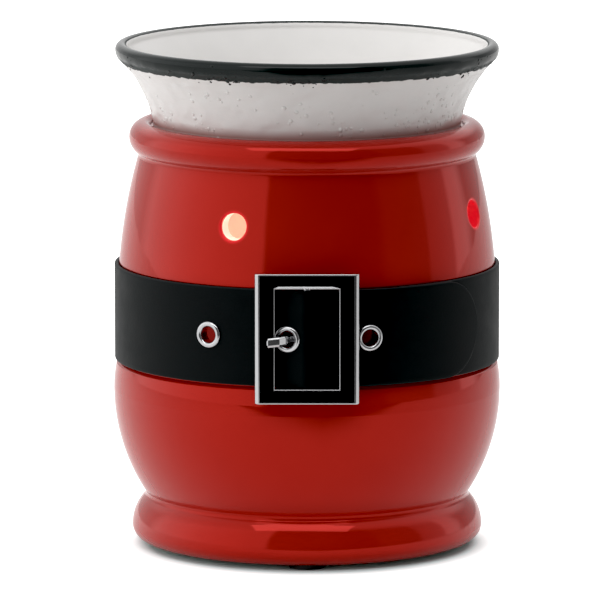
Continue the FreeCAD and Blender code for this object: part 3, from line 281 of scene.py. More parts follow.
# Filament: coiled tungsten that glows. Its turns are drawn coarser than they are, so that they show.
hot_wire, tree, shader, place = finish("glowing_tungsten")
turns = node(tree, "ShaderNodeTexWave", {"Vector": place, "Scale": 1 / (6.0 * MM)})
glow = node(tree, "ShaderNodeMapRange", {"Value": turns.outputs["Fac"], "To Min": 20.0, "To Max": 40.0})
tree.links.new(glow.outputs[0], shader.inputs["Emission Strength"])
shader.inputs["Emission Color"].default_value = paint("#ffb46a")
wear(hot_wire, "filament")

# Cap: rolled aluminium, pale, with fine scuffs that dull it.
rolled_cap, tree, shader, place = finish("rolled_aluminium")
scuff = node(tree, "ShaderNodeTexNoise", {"Vector": place, "Scale": 1 / (1.5 * MM), "Detail": 3.0})
dull = node(tree, "ShaderNodeMapRange", {"Value": scuff.outputs["Fac"], "To Min": 0.22, "To Max": 0.4})
tree.links.new(dull.outputs[0], shader.inputs["Roughness"])
shader.inputs["Base Color"].default_value = paint("#cfd0d0")
shader.inputs["Metallic"].default_value = 1.0
wear(rolled_cap, "bulb_cap")

# Insulator: black glass run into the end of the cap, deep and glossy, with tiny seeds.
black_glass, tree, shader, place = finish("black_glass")
seeds = node(tree, "ShaderNodeTexNoise", {"Vector": place, "Scale": 1 / (1.0 * MM)})
relief = node(tree, "ShaderNodeBump", {"Height": seeds.outputs["Fac"], "Strength": 0.2, "Distance": 0.05 * MM})
tree.links.new(relief.outputs[0], shader.inputs["Normal"])
shader.inputs["Base Color"].default_value = paint("#0c0c10")
shader.inputs["Roughness"].default_value = 0.12
wear(black_glass, "bulb_insulator")

# Dish: white glazed ceramic turned to a flared cup, its rim dipped in black glaze. It stands loose in the pot's
# mouth. The outside is speckled with beads where the glaze spat and ran, black ones along the rim's lower edge.


def linked(name, data):
    """A new object in the scene that holds a mesh, a curve, a light or a camera."""
    made = bpy.data.objects.new(name, data)
    scene.collection.objects.link(made)
    return made


def closed(shape, mesh):
    """Turns a shape's faces outwards and keeps it in a mesh."""
    bmesh.ops.recalc_face_normals(shape, faces=shape.faces)
    shape.to_mesh(mesh)
    shape.free()


def bend(start, end, radius, turn, count):
    """The points after the start of an arc, in count steps; turn is 1 counter-clockwise and -1 clockwise."""
    start, end = Vector(start), Vector(end)
    half = (end - start) / 2
    rise = math.sqrt(max(radius * radius - half.length_squared, 0))
    centre = start + half + Vector((-half.y, half.x)).normalized() * rise * turn
    first = math.atan2(start.y - centre.y, start.x - centre.x)
    last = math.atan2(end.y - centre.y, end.x - centre.x)
    sweep = (last - first) % (2 * math.pi) if turn > 0 else -((first - last) % (2 * math.pi))
    angles = [first + sweep * step / count for step in range(1, count + 1)]
    return [(centre.x + radius * math.cos(a), centre.y + radius * math.sin(a)) for a in angles]


def turned(name, profile, around):
    """A closed round piece from half of its section, in millimetres, listed from axis to axis."""
    mesh = bpy.data.meshes.new(name)
    shape = bmesh.new()
    rings = []
    for out, up in profile:
        count = around if out > 1e-6 else 1
        turns = [2 * math.pi * step / around for step in range(count)]
        rings.append([shape.verts.new((out * MM * math.sin(a), -out * MM * math.cos(a), up * MM)) for a in turns])
    for low, high in zip(rings, rings[1:]):
        for step in range(around):
            after = (step + 1) % around
            corners = [low[step % len(low)], low[after % len(low)], high[after % len(high)], high[step % len(high)]]
            face = shape.faces.new(list(dict.fromkeys(corners)))
            face.smooth = True
    closed(shape, mesh)
    return linked(name, mesh)


DISH_SIDES = 288
dish_profile = [(0, 118.4), (20, 118.4), (40.6, 118.4)]
dish_profile += bend((40.6, 118.4), (43.6, 121.4), 3.0, 1, 5)
dish_profile += [(43.6, 126.7), (43.8, 126.9), (46.1, 126.9), (46.3, 127.1), (46.3, 128.3)]
dish_profile += bend((46.3, 128.3), (56.1, 146.8), 35.0, -1, 34)
dish_profile += bend((56.1, 146.8), (57.7, 150.0), 4.0, 1, 8)
dish_profile += bend((57.7, 150.0), (55.7, 152.0), 2.0, 1, 8)
dish_profile += bend((55.7, 152.0), (53.7, 150.0), 2.0, 1, 8)
dish_profile += bend((53.7, 150.0), (41.2, 128.6), 40.0, 1, 30)
dish_profile += bend((41.2, 128.6), (33.0, 122.4), 8.52, -1, 12)
dish_profile += [(18, 122.4), (0, 122.4)]
dish_turning = turned("dish_turning", dish_profile, DISH_SIDES)

# White glaze: thick and glassy, slightly uneven in tone, with painted red reflection and shade just above the seat.
# The black dip ends in a ragged line outside, where it is thin, grey and duller, and in a clean one inside. The mesh
# carries each point's distance into the dip and down from the top of the painted red reflection, in millimetres; the
# beads carry their own.
DIP_EDGE, DIP_FULL, THIN_END, THICK_START, RAGGED = 0.62, 0.78, 1.8, 3.0, 1.4
PAINTED_BOUNCE_DEPTH, PAINTED_BOUNCE_SHARE = 2.9, 0.75
WHITE_ROUGH, THIN_ROUGH, BLACK_ROUGH = 0.25, 0.6, 0.12
white_glaze, tree, shader, place = finish("white_glazed_ceramic")
into_dip = node(tree, "ShaderNodeAttribute", attribute_name="into_dip")
ragged = node(tree, "ShaderNodeTexNoise", {"Vector": place, "Scale": 1 / (2.4 * MM), "Detail": 4.0})
edge = node(
    tree,
    "ShaderNodeMath",
    {0: ragged.outputs["Fac"], 1: RAGGED, 2: into_dip.outputs["Fac"]},
    operation="MULTIPLY_ADD",
)
dipped = node(tree, "ShaderNodeMapRange", {"Value": edge.outputs[0], "From Min": DIP_EDGE, "From Max": DIP_FULL})
cloud = node(tree, "ShaderNodeTexNoise", {"Vector": place, "Scale": 1 / (14 * MM), "Detail": 4.0})
white = node(
    tree,
    "ShaderNodeMix",
    {0: cloud.outputs["Fac"], 6: paint("#dbd9d7"), 7: paint("#e6e4e2")},
    data_type="RGBA",
)
# Painted red reflection and shade: the white turns dark red just above the seat, where the pot's red lip reflects into
# it and shades it.
bounce_depth_read = node(tree, "ShaderNodeAttribute", attribute_name="painted_bounce_depth")
bounce_strength = node(
    tree,
    "ShaderNodeMapRange",
    {"Value": bounce_depth_read.outputs["Fac"], "From Max": PAINTED_BOUNCE_DEPTH, "To Max": PAINTED_BOUNCE_SHARE},
)
white_with_painted_bounce = node(
    tree, "ShaderNodeMix", {0: bounce_strength.outputs[0], 6: white.outputs[2], 7: paint("#8c4a40")}, data_type="RGBA"
)
thick = node(tree, "ShaderNodeMapRange", {"Value": edge.outputs[0], "From Min": THIN_END, "From Max": THICK_START})
black = node(
    tree, "ShaderNodeMix", {0: thick.outputs[0], 6: paint("#2a3231"), 7: paint("#101817")}, data_type="RGBA"
)
tone = node(
    tree, "ShaderNodeMix", {0: dipped.outputs[0], 6: white_with_painted_bounce.outputs[2], 7: black.outputs[2]}, data_type="RGBA"
)
black_gloss = node(
    tree, "ShaderNodeMapRange", {"Value": thick.outputs[0], "To Min": THIN_ROUGH, "To Max": BLACK_ROUGH}
)
gloss = node(
    tree, "ShaderNodeMapRange", {"Value": dipped.outputs[0], "To Min": WHITE_ROUGH, "To Max": black_gloss.outputs[0]}
)
swell = node(tree, "ShaderNodeTexNoise", {"Vector": place, "Scale": 1 / (2.5 * MM), "Detail": 2.0})
relief = node(tree, "ShaderNodeBump", {"Height": swell.outputs["Fac"], "Strength": 0.3, "Distance": 0.12 * MM})
tree.links.new(tone.outputs[2], shader.inputs["Base Color"])
tree.links.new(gloss.outputs[0], shader.inputs["Roughness"])
tree.links.new(relief.outputs[0], shader.inputs["Normal"])
shader.inputs["IOR"].default_value = 1.34

# Where the dip ends, where the painted red reflection above the seat starts, and where the glaze beaded: white drops
# over the flare, most of them near the seat, and black ones along the dip. The flare is also lumpy all over.
DIP_OUTSIDE, DIP_INSIDE, INSIDE_STEEPNESS, RIM_MIDDLE = 146.1, 151.45, 6, 55.7
FLARE_LOW, FLARE_IN, FLARE_UP, FLARE_SLOPE = 128.0, 43.7, 128.3, 0.553
WHITE_MIDDLE, WHITE_SPREAD, WHITE_HIGH, WHITE_LEAST = 130.5, 1.8, 144.9, 0.2
BLACK_SPREAD, BLACK_LOW, BLACK_HIGH, BLACK_LEAST = 0.9, 144.6, 150.5, 0.2
LUMP_LOW, LUMP_HIGH, LUMP_FADE_LOW, LUMP_FADE_HIGH = 129.0, 150.0, 2, 3
LUMP_RISE, LUMP_SIZE, SMALL_LUMP_SIZE, SMALL_LUMP_SHARE = 0.32, 4.5, 2.2, 0.5
PAINTED_BOUNCE_TOP = 131.2
dip_depth = dish_turning.data.attributes.new("into_dip", "FLOAT", "POINT")
white_share = dish_turning.data.attributes.new("white_share", "FLOAT", "POINT")
black_share = dish_turning.data.attributes.new("black_share", "FLOAT", "POINT")
bounce_attribute = dish_turning.data.attributes.new("painted_bounce_depth", "FLOAT", "POINT")
for index, vertex in enumerate(dish_turning.data.vertices):
    out, up = math.hypot(vertex.co.x, vertex.co.y) / MM, vertex.co.z / MM
    outside = FLARE_LOW < up and out > min(FLARE_IN + (up - FLARE_UP) * FLARE_SLOPE, RIM_MIDDLE)
    dip_depth.data[index].value = up - DIP_OUTSIDE if outside else INSIDE_STEEPNESS * (up - DIP_INSIDE)
    near_seat = math.exp(-(((up - WHITE_MIDDLE) / WHITE_SPREAD) ** 2))
    along_dip = math.exp(-(((up - DIP_OUTSIDE) / BLACK_SPREAD) ** 2)) + BLACK_LEAST * (up > DIP_OUTSIDE)
    white_here = WHITE_LEAST + (1 - WHITE_LEAST) * near_seat
    white_share.data[index].value = white_here if outside and up < WHITE_HIGH else 0.0
    black_share.data[index].value = along_dip if outside and BLACK_LOW < up < BLACK_HIGH else 0.0
    bounce_attribute.data[index].value = PAINTED_BOUNCE_TOP - up if outside else 0.0
    if outside and LUMP_LOW < up < LUMP_HIGH:
        lump = noise.noise(vertex.co / (LUMP_SIZE * MM))
        lump += SMALL_LUMP_SHARE * noise.noise(vertex.co / (SMALL_LUMP_SIZE * MM))
        fade = min(1, (up - LUMP_LOW) / LUMP_FADE_LOW, (LUMP_HIGH - up) / LUMP_FADE_HIGH)
        vertex.co *= Vector((1, 1, 0)) * (1 + LUMP_RISE * lump * fade / out) + Vector((0, 0, 1))

# Beads: flattened drops, mostly sunk in the glaze, in clusters, and most of them small.
CLUSTER_EDGE, CLUSTER_FULL, SMALL_BIAS = 0.45, 0.7, 2.5
BEAD_SIDES, BEAD_RINGS, BEAD_FLAT, BEAD_SUNK = 8, 6, 0.5, 0.5
SPOT_SEED, SIZE_SEED = 7, 3
beads = bpy.data.node_groups.new("glaze_beads", "GeometryNodeTree")
SOCKETS = [("Dish", "Geometry"), ("Share", "String"), ("Beads per square metre", "Float"), ("Smallest", "Float")]
SOCKETS += [("Largest", "Float"), ("Cluster size", "Float"), ("Into dip", "Float"), ("Glaze", "Material")]
for title, kind in SOCKETS:
    beads.interface.new_socket(title, in_out="INPUT", socket_type="NodeSocket" + kind)
beads.interface.new_socket("Beaded dish", in_out="OUTPUT", socket_type="NodeSocketGeometry")
given = node(beads, "NodeGroupInput").outputs
share = node(beads, "GeometryNodeInputNamedAttribute", {"Name": given["Share"]}, data_type="FLOAT")
per_size = node(beads, "ShaderNodeMath", {0: 1.0, 1: given["Cluster size"]}, operation="DIVIDE")
clusters = node(beads, "ShaderNodeTexNoise", {"Scale": per_size.outputs[0], "Detail": 2.0})
gathered = node(
    beads,
    "ShaderNodeMapRange",
    {"Value": clusters.outputs["Fac"], "From Min": CLUSTER_EDGE, "From Max": CLUSTER_FULL},
)
wanted = node(beads, "ShaderNodeMath", {0: share.outputs[0], 1: gathered.outputs[0]}, operation="MULTIPLY")
density = node(
    beads, "ShaderNodeMath", {0: wanted.outputs[0], 1: given["Beads per square metre"]}, operation="MULTIPLY"
)
spots = node(
    beads,
    "GeometryNodeDistributePointsOnFaces",
    {"Mesh": given["Dish"], "Density": density.outputs[0], "Seed": SPOT_SEED},
)
drop = node(beads, "GeometryNodeMeshUVSphere", {"Segments": BEAD_SIDES, "Rings": BEAD_RINGS, "Radius": 1.0})
soft_drop = node(beads, "GeometryNodeSetShadeSmooth", {"Geometry": drop.outputs["Mesh"]})
sunk_drop = node(beads, "GeometryNodeTransform", {"Geometry": soft_drop.outputs[0], "Translation": (0, 0, -BEAD_SUNK)})
dyed_drop = node(
    beads,
    "GeometryNodeStoreNamedAttribute",
    {"Geometry": sunk_drop.outputs[0], "Name": "into_dip", "Value": given["Into dip"]},
    data_type="FLOAT",
)
lot = node(beads, "FunctionNodeRandomValue", {2: 0.0, 3: 1.0, "Seed": SIZE_SEED}, data_type="FLOAT")
mostly_small = node(beads, "ShaderNodeMath", {0: lot.outputs[1], 1: SMALL_BIAS}, operation="POWER")
size = node(
    beads,
    "ShaderNodeMapRange",
    {"Value": mostly_small.outputs[0], "To Min": given["Smallest"], "To Max": given["Largest"]},
)
flat = node(beads, "ShaderNodeVectorMath", {0: (1.0, 1.0, BEAD_FLAT), "Scale": size.outputs[0]}, operation="SCALE")
placed = node(
    beads,
    "GeometryNodeInstanceOnPoints",
    {
        "Points": spots.outputs["Points"],
        "Instance": dyed_drop.outputs[0],
        "Rotation": spots.outputs["Rotation"],
        "Scale": flat.outputs[0],
    },
)
joined = node(beads, "GeometryNodeJoinGeometry")
beads.links.new(placed.outputs[0], joined.inputs[0])
beads.links.new(given["Dish"], joined.inputs[0])
real = node(beads, "GeometryNodeRealizeInstances", {"Geometry": joined.outputs[0]})
coated = node(beads, "GeometryNodeSetMaterial", {"Geometry": real.outputs[0], "Material": given["Glaze"]})
node(beads, "NodeGroupOutput", {0: coated.outputs[0]})


def grown(piece, group, name, values):
    """The plain mesh that a node tree makes of a piece, in place of that piece."""
    modifier = piece.modifiers.new(group.name, "NODES")
    modifier.node_group = group
    for item in group.interface.items_tree:
        if item.in_out == "INPUT" and item.name in values:
            modifier[item.identifier] = values[item.name]
    bpy.context.view_layer.update()
    ready = piece.evaluated_get(bpy.context.evaluated_depsgraph_get())
    mesh = bpy.data.meshes.new_from_object(ready)
    bpy.data.objects.remove(piece)
    return linked(name, mesh)


# A bead counts as deep in the dip or far out of it, so that it has one colour.
white_beads = {
    "Share": "white_share",
    "Beads per square metre": 800000.0,
    "Smallest": 0.3 * MM,
    "Largest": 1.0 * MM,
    "Cluster size": 16 * MM,
    "Into dip": -9.0,
    "Glaze": white_glaze,
}
black_beads = {
    "Share": "black_share",
    "Beads per square metre": 900000.0,
    "Smallest": 0.25 * MM,
    "Largest": 0.85 * MM,
    "Cluster size": 11 * MM,
    "Into dip": 9.0,
    "Glaze": white_glaze,
}
dish = grown(grown(dish_turning, beads, "beaded_dish", white_beads), beads, "glazed_dish", black_beads)
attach(dish, "dish")
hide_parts("wax_dish")

# Strap: one band of black leather, cut and punched flat and then wrapped. It starts under its own tail, goes
# round the back, over the buckle's centre bar and on to the right, where its round end is glued over the start.
STRAP_IN, TAIL_IN, STRAP_THICK, STRAP_HALF = 56.75, 58.1, 1.3, 14.5
BAR_OUT, LOOP_IN, STRAP_MIDDLE, EDGE_ROUND = 58.5, 1.55, CHANNEL_MIDDLE, 0.4
LEFT_TURN = math.acos((STRAP_IN - LOOP_IN) / BAR_OUT)
RIGHT_TURN = math.acos((TAIL_IN - LOOP_IN) / BAR_OUT)
START, TIP = math.radians(28), math.radians(58.7)
LEFT_EYELET, RIGHT_EYELET, MIDDLE_EYELET_TO_BAR = math.radians(30.05), math.radians(18.17), 5.2

# The way that the inner face takes: round the pot, straight to the bar, over it, straight back, and the tail.
route = []
for radius, middle, first, last, count in (
    (STRAP_IN, 0.0, START, 2 * math.pi - LEFT_TURN, 310),
    (LOOP_IN, BAR_OUT, -LEFT_TURN, RIGHT_TURN, 10),
    (TAIL_IN, 0.0, RIGHT_TURN, TIP, 44),
):
    for step in range(count + 1):
        angle = first + (last - first) * step / count
        route.append((radius * math.sin(angle), -middle - radius * math.cos(angle)))
path_curve = bpy.data.curves.new("strap_path", "CURVE")
path_curve.dimensions = "3D"
spline = path_curve.splines.new("POLY")
spline.points.add(len(route) - 1)
for point, (x, y) in zip(spline.points, route):
    point.co = (x * MM, y * MM, STRAP_MIDDLE * MM, 1)
strap_path = linked("strap_path", path_curve)

# Places along the strap: the end of the round, the bar, the eyelets and the tip.
ROUND_END = STRAP_IN * (2 * math.pi - LEFT_TURN - START)
BAR_START = ROUND_END + BAR_OUT * math.sin(LEFT_TURN)
TAIL_START = BAR_START + LOOP_IN * (LEFT_TURN + RIGHT_TURN) + BAR_OUT * math.sin(RIGHT_TURN)
STRAP_LENGTH = TAIL_START + TAIL_IN * (TIP - RIGHT_TURN)
EYELETS = [ROUND_END - STRAP_IN * (LEFT_EYELET - LEFT_TURN), BAR_START - MIDDLE_EYELET_TO_BAR]
EYELETS += [TAIL_START + TAIL_IN * (RIGHT_EYELET - RIGHT_TURN)]

# Across the strap: outward from the inner face, up from the middle, with rolled edges. Along it: even steps, then
# finer ones round the tip.
FACE_ROWS, STEPS, EVEN_STEPS, TIP_STEPS, TIP_HALF = 28, 400, 365, 40, 0.6
section = []
for corner_out, side, first in ((1, 1, 0), (0, 1, 90), (0, -1, 180), (1, -1, 270)):
    for step in range(4):
        turn = math.radians(first + 30 * step)
        out = (STRAP_THICK - EDGE_ROUND if corner_out else EDGE_ROUND) + EDGE_ROUND * math.cos(turn)
        section.append((out, side, EDGE_ROUND * (math.sin(turn) - side)))
section += [(STRAP_THICK, -1 + 2 * row / FACE_ROWS, 0.0) for row in range(1, FACE_ROWS)]
flat_mesh = bpy.data.meshes.new("flat_strap")
shape = bmesh.new()
rows = []
along = [STRAP_LENGTH * step / STEPS for step in range(EVEN_STEPS)]
TIP_SPAN = STRAP_LENGTH - along[-1]
along += [along[-1] + TIP_SPAN * math.sin(math.pi / 2 * step / TIP_STEPS) for step in range(1, TIP_STEPS + 1)]
for s in along:
    left = STRAP_LENGTH - s
    half = STRAP_HALF
    if left < STRAP_HALF:
        half = max(math.sqrt(STRAP_HALF**2 - (STRAP_HALF - left) ** 2), TIP_HALF)
    half_flat = half - EDGE_ROUND
    rows.append([])
    for out, side, shift in section:
        up = side * half + shift if abs(side) == 1 else side * half_flat
        rows[-1].append(shape.verts.new((s * MM, out * MM, up * MM)))
for near, far in zip(rows, rows[1:]):
    for step in range(len(section)):
        after = (step + 1) % len(section)
        shape.faces.new((near[step], near[after], far[after], far[step])).smooth = True
shape.faces.new(rows[0])
shape.faces.new(rows[-1])
closed(shape, flat_mesh)
flat_strap = linked("flat_strap", flat_mesh)

# Three round holes, punched before wrapping.
PUNCH_RADIUS, PUNCH_DEPTH, PUNCH_SIDES = 2.8, 6, 40
punch_mesh = bpy.data.meshes.new("punch")
shape = bmesh.new()
for s in EYELETS:
    made = bmesh.ops.create_cone(
        shape,
        cap_ends=True,
        segments=PUNCH_SIDES,
        radius1=PUNCH_RADIUS * MM,
        radius2=PUNCH_RADIUS * MM,
        depth=PUNCH_DEPTH * MM,
    )
    for vertex in made["verts"]:
        x, y, z = vertex.co
        vertex.co = (s * MM + x, -z, y)
shape.to_mesh(punch_mesh)
shape.free()
punch = linked("punch", punch_mesh)
cut = flat_strap.modifiers.new("punched", "BOOLEAN")
cut.operation = "DIFFERENCE"
cut.object = punch
bpy.context.view_layer.update()
ready = flat_strap.evaluated_get(bpy.context.evaluated_depsgraph_get())
punched_mesh = bpy.data.meshes.new_from_object(ready)
flat_strap.modifiers.clear()
flat_strap.data = punched_mesh
bpy.data.objects.remove(punch)

# Leather: dyed through and waxed, a fine pebble grain, and a paler line along each edge.
PALE_EDGE_START, PALE_EDGE_FULL = 14.0, 14.45
black_leather, tree, shader, place = finish("waxed_leather")
split = node(tree, "ShaderNodeSeparateXYZ", {0: place})
middle = node(tree, "ShaderNodeMath", {0: split.outputs["Z"], 1: STRAP_MIDDLE * MM}, operation="SUBTRACT")
away = node(tree, "ShaderNodeMath", {0: middle.outputs[0]}, operation="ABSOLUTE")
pale_edge = node(
    tree,
    "ShaderNodeMapRange",
    {"Value": away.outputs[0], "From Min": PALE_EDGE_START * MM, "From Max": PALE_EDGE_FULL * MM},
)
pebble = node(tree, "ShaderNodeTexVoronoi", {"Vector": place, "Scale": 1 / (0.7 * MM)}, feature="SMOOTH_F1")
hide = node(tree, "ShaderNodeTexNoise", {"Vector": place, "Scale": 1 / (6 * MM), "Detail": 5.0})
dyed = node(
    tree, "ShaderNodeMix", {0: hide.outputs["Fac"], 6: paint("#090c0d"), 7: paint("#101516")}, data_type="RGBA"
)
tone = node(
    tree, "ShaderNodeMix", {0: pale_edge.outputs[0], 6: dyed.outputs[2], 7: paint("#1e2425")}, data_type="RGBA"
)
waxed = node(tree, "ShaderNodeMapRange", {"Value": hide.outputs["Fac"], "To Min": 0.42, "To Max": 0.58})
relief = node(
    tree, "ShaderNodeBump", {"Height": pebble.outputs["Distance"], "Strength": 0.25, "Distance": 0.06 * MM}
)
tree.links.new(tone.outputs[2], shader.inputs["Base Color"])
tree.links.new(waxed.outputs[0], shader.inputs["Roughness"])
tree.links.new(relief.outputs[0], shader.inputs["Normal"])
shader.inputs["Specular IOR Level"].default_value = 0.11

# Wrapping: each point moves to its length along the path, out by its depth and up by its height.
wrap = bpy.data.node_groups.new("wrap_strap", "GeometryNodeTree")
for title, kind in (("Strap", "Geometry"), ("Path", "Object"), ("Leather", "Material")):
    wrap.interface.new_socket(title, in_out="INPUT", socket_type="NodeSocket" + kind)
wrap.interface.new_socket("Wrapped strap", in_out="OUTPUT", socket_type="NodeSocketGeometry")
given = node(wrap, "NodeGroupInput").outputs
path = node(wrap, "GeometryNodeObjectInfo", {"Object": given["Path"]})
spot = node(wrap, "ShaderNodeSeparateXYZ", {0: node(wrap, "GeometryNodeInputPosition").outputs[0]})
on_path = node(
    wrap,
    "GeometryNodeSampleCurve",
    {"Curves": path.outputs["Geometry"], "Length": spot.outputs["X"]},
    mode="LENGTH",
    use_all_curves=True,
)
outward = node(
    wrap, "ShaderNodeVectorMath", {0: on_path.outputs["Tangent"], 1: (0, 0, 1)}, operation="CROSS_PRODUCT"
)
depth = node(wrap, "ShaderNodeVectorMath", {0: outward.outputs[0], "Scale": spot.outputs["Y"]}, operation="SCALE")
raised = node(wrap, "ShaderNodeCombineXYZ", {"Z": spot.outputs["Z"]})
offset = node(wrap, "ShaderNodeVectorMath", {0: depth.outputs[0], 1: raised.outputs[0]}, operation="ADD")
wrapped_place = node(
    wrap, "ShaderNodeVectorMath", {0: on_path.outputs["Position"], 1: offset.outputs[0]}, operation="ADD"
)
bent = node(wrap, "GeometryNodeSetPosition", {"Geometry": given["Strap"], "Position": wrapped_place.outputs[0]})
real = node(wrap, "GeometryNodeRealizeInstances", {"Geometry": bent.outputs[0]})
dressed = node(wrap, "GeometryNodeSetMaterial", {"Geometry": real.outputs[0], "Material": given["Leather"]})
node(wrap, "NodeGroupOutput", {0: dressed.outputs[0]})
strap = grown(flat_strap, wrap, "leather_strap", {"Path": strap_path, "Leather": black_leather})
bpy.data.objects.remove(strap_path)
shape = bmesh.new()
shape.from_mesh(strap.data)
closed(shape, strap.data)
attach(strap, "pot")
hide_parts("belt_strap")

# Eyelets and buckle frame: pressed and cast metal under bright plating, polished nearly to a mirror and hazed by
# fine scuffs. The eyelets are clinched into the strap, and the strap holds the frame by its centre bar.
bright_plate, tree, shader, place = finish("bright_plated_zinc")
polish = node(tree, "ShaderNodeTexNoise", {"Vector": place, "Scale": 1 / (1.2 * MM), "Detail": 3.0})
scuffed = node(tree, "ShaderNodeMapRange", {"Value": polish.outputs["Fac"], "To Min": 0.1, "To Max": 0.2})
tree.links.new(scuffed.outputs[0], shader.inputs["Roughness"])
shader.inputs["Base Color"].default_value = paint("#bdbdbf")
shader.inputs["Metallic"].default_value = 1.0
wear(bright_plate, "belt_eyelets", "buckle_frame")

# Prong: a square bar of the same metal, bevelled along its front. Its eye turns on the buckle's centre bar; the
# bar comes up through the middle eyelet, bends over the eyelet's lip and lies on the left side of the frame.
PRONG_LINE = [(-0.9, 58.5), (-4.0, 58.6), (-5.2, 59.5), (-6.8, 62.1), (-8.2, 62.85), (-11.5, 62.85)]
PRONG_LINE += [(-11.85, 62.85)]
PRONG_SECTION = [(0.75, -0.75), (0.75, 0.95), (0.35, 1.4), (-0.6, 1.4), (-0.75, 1.25), (-0.75, -1.25)]
PRONG_SECTION += [(-0.6, -1.4), (0.2, -1.4)]
TIP_SIZE, TIP_DROP, DROP_START, DROP_RUN = 0.55, 0.7, 6, 6.4
EYE_OUTER, EYE_INNER, EYE_HALF, EYE_SIDES = 1.45, 0.92, 1.4, 32
prong_mesh = bpy.data.meshes.new("bevelled_prong")
shape = bmesh.new()
rings = []
for index, (x, out) in enumerate(PRONG_LINE):
    before, after = PRONG_LINE[max(index - 1, 0)], PRONG_LINE[min(index + 1, len(PRONG_LINE) - 1)]
    run = Vector((after[0] - before[0], after[1] - before[1])).normalized()
    front = Vector((run.y, -run.x))
    size = TIP_SIZE if index == len(PRONG_LINE) - 1 else 1.0
    drop = TIP_DROP * max(0, -x - DROP_START) / DROP_RUN
    rings.append([])
    for deep, up in PRONG_SECTION:
        across, outwards = x + front.x * deep * size, out + front.y * deep * size
        rings[-1].append(shape.verts.new((across * MM, -outwards * MM, (STRAP_MIDDLE + up * size - drop) * MM)))
for near, far in zip(rings, rings[1:]):
    for step in range(len(PRONG_SECTION)):
        after = (step + 1) % len(PRONG_SECTION)
        shape.faces.new((near[step], near[after], far[after], far[step]))
shape.faces.new(rings[0])
shape.faces.new(rings[-1])
eye = []
for reach, side in ((EYE_OUTER, -1), (EYE_OUTER, 1), (EYE_INNER, 1), (EYE_INNER, -1)):
    eye.append([])
    for step in range(EYE_SIDES):
        turn = 2 * math.pi * step / EYE_SIDES
        x, y = reach * MM * math.cos(turn), (reach * math.sin(turn) - BAR_OUT) * MM
        eye[-1].append(shape.verts.new((x, y, (STRAP_MIDDLE + EYE_HALF * side) * MM)))
for near, far in zip(eye, eye[1:] + eye[:1]):
    for step in range(EYE_SIDES):
        after = (step + 1) % EYE_SIDES
        shape.faces.new((near[step], near[after], far[after], far[step]))
closed(shape, prong_mesh)
prong = linked("bevelled_prong", prong_mesh)
prong_mesh.materials.append(bright_plate)
edges = prong.modifiers.new("broken_edges", "BEVEL")
edges.width, edges.segments, edges.limit_method, edges.angle_limit = 0.08 * MM, 2, "ANGLE", math.radians(20)
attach(prong, "prong")
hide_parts("buckle_prong")

# Buckle face: a black face in the frame's recess, polished level, as dark and glossy as black glass, and hardly
# uneven. Its black is a painted reflection of the dark room in front, which the mirror-polished front shows.
painted_reflection_face, tree, shader, place = finish("black_face_painted_reflection")
settle = node(tree, "ShaderNodeTexNoise", {"Vector": place, "Scale": 1 / (7 * MM), "Detail": 2.0})
relief = node(tree, "ShaderNodeBump", {"Height": settle.outputs["Fac"], "Strength": 0.1, "Distance": 0.05 * MM})
tree.links.new(relief.outputs[0], shader.inputs["Normal"])
# Painted reflection: this black stands in for the dark room that the polished front mirrors.
shader.inputs["Base Color"].default_value = paint("#050506")
shader.inputs["Roughness"].default_value = 0.06
shader.inputs["Specular IOR Level"].default_value = 0.3
wear(painted_reflection_face, "buckle_enamel")

# Window bevel: a bright slope left along the top of the buckle's window, where the frame turns over the black face.
# It is cast with the frame and has the same plating.
BEVEL_FOOT = [(-9.6, 61.8), (9.6, 61.8), (9.6, 62.17), (-9.6, 62.17)]
BEVEL_TOP = [(-7.9, 61.8), (6.8, 61.8)]
BEVEL_LOW, BEVEL_HIGH = 86.45, 87.1
bevel_mesh = bpy.data.meshes.new("window_bevel")
corners = [(x * MM, -out * MM, BEVEL_LOW * MM) for x, out in BEVEL_FOOT]
corners += [(x * MM, -out * MM, BEVEL_HIGH * MM) for x, out in BEVEL_TOP]
bevel_mesh.from_pydata(corners, [], [(0, 1, 2, 3), (3, 2, 5, 4), (1, 0, 4, 5), (0, 3, 4), (2, 1, 5)])
shape = bmesh.new()
shape.from_mesh(bevel_mesh)
closed(shape, bevel_mesh)
bevel = linked("window_bevel", bevel_mesh)
bevel_mesh.materials.append(bright_plate)
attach(bevel, "pot")

# Studio: white paper underneath, a long soft box high in front, and a ring of soft panels: broad on the left,
# narrower on the right, dimmer at the back, and hardly any near the camera, where the room is dark.
PAPER_HALF = 3.0
floor_mesh = bpy.data.meshes.new("paper")
corners = [(x * PAPER_HALF, y * PAPER_HALF, 0) for x, y in ((-1, -1), (1, -1), (1, 1), (-1, 1))]
floor_mesh.from_pydata(corners, [], [(0, 1, 2, 3)])
floor = linked("paper", floor_mesh)

# The paper is lit from below, so it looks white from everywhere and shows only the shadow close to the foot. It
# gives the object less light than it shows, hardly any from a wedge in front, and less from the right.
SHADOW_MIDDLE, SHADOW_DARK, SHADOW_END = (0.7 * MM, -4.5 * MM, 0), 48.3, 58.5
WEDGE_TURN, WEDGE_SPREAD, WEDGE_EDGE, WEDGE_END = math.radians(-8), 0.8, -0.3, -0.1
RIGHT_START, RIGHT_END, RIGHT_SHARE = 0.05, 0.35, 0.75
GLOSSY_LIGHT, DIFFUSE_LIGHT, CAMERA_LIGHT = 0.22, 0.15, 0.95
paper, tree, shader, place = finish("white_paper")
reach = node(tree, "ShaderNodeVectorMath", {0: place, 1: SHADOW_MIDDLE}, operation="DISTANCE").outputs["Value"]
aimed = node(tree, "ShaderNodeMapping", {"Vector": place, "Rotation": (0, 0, WEDGE_TURN)})
split = node(tree, "ShaderNodeSeparateXYZ", {0: aimed.outputs[0]})
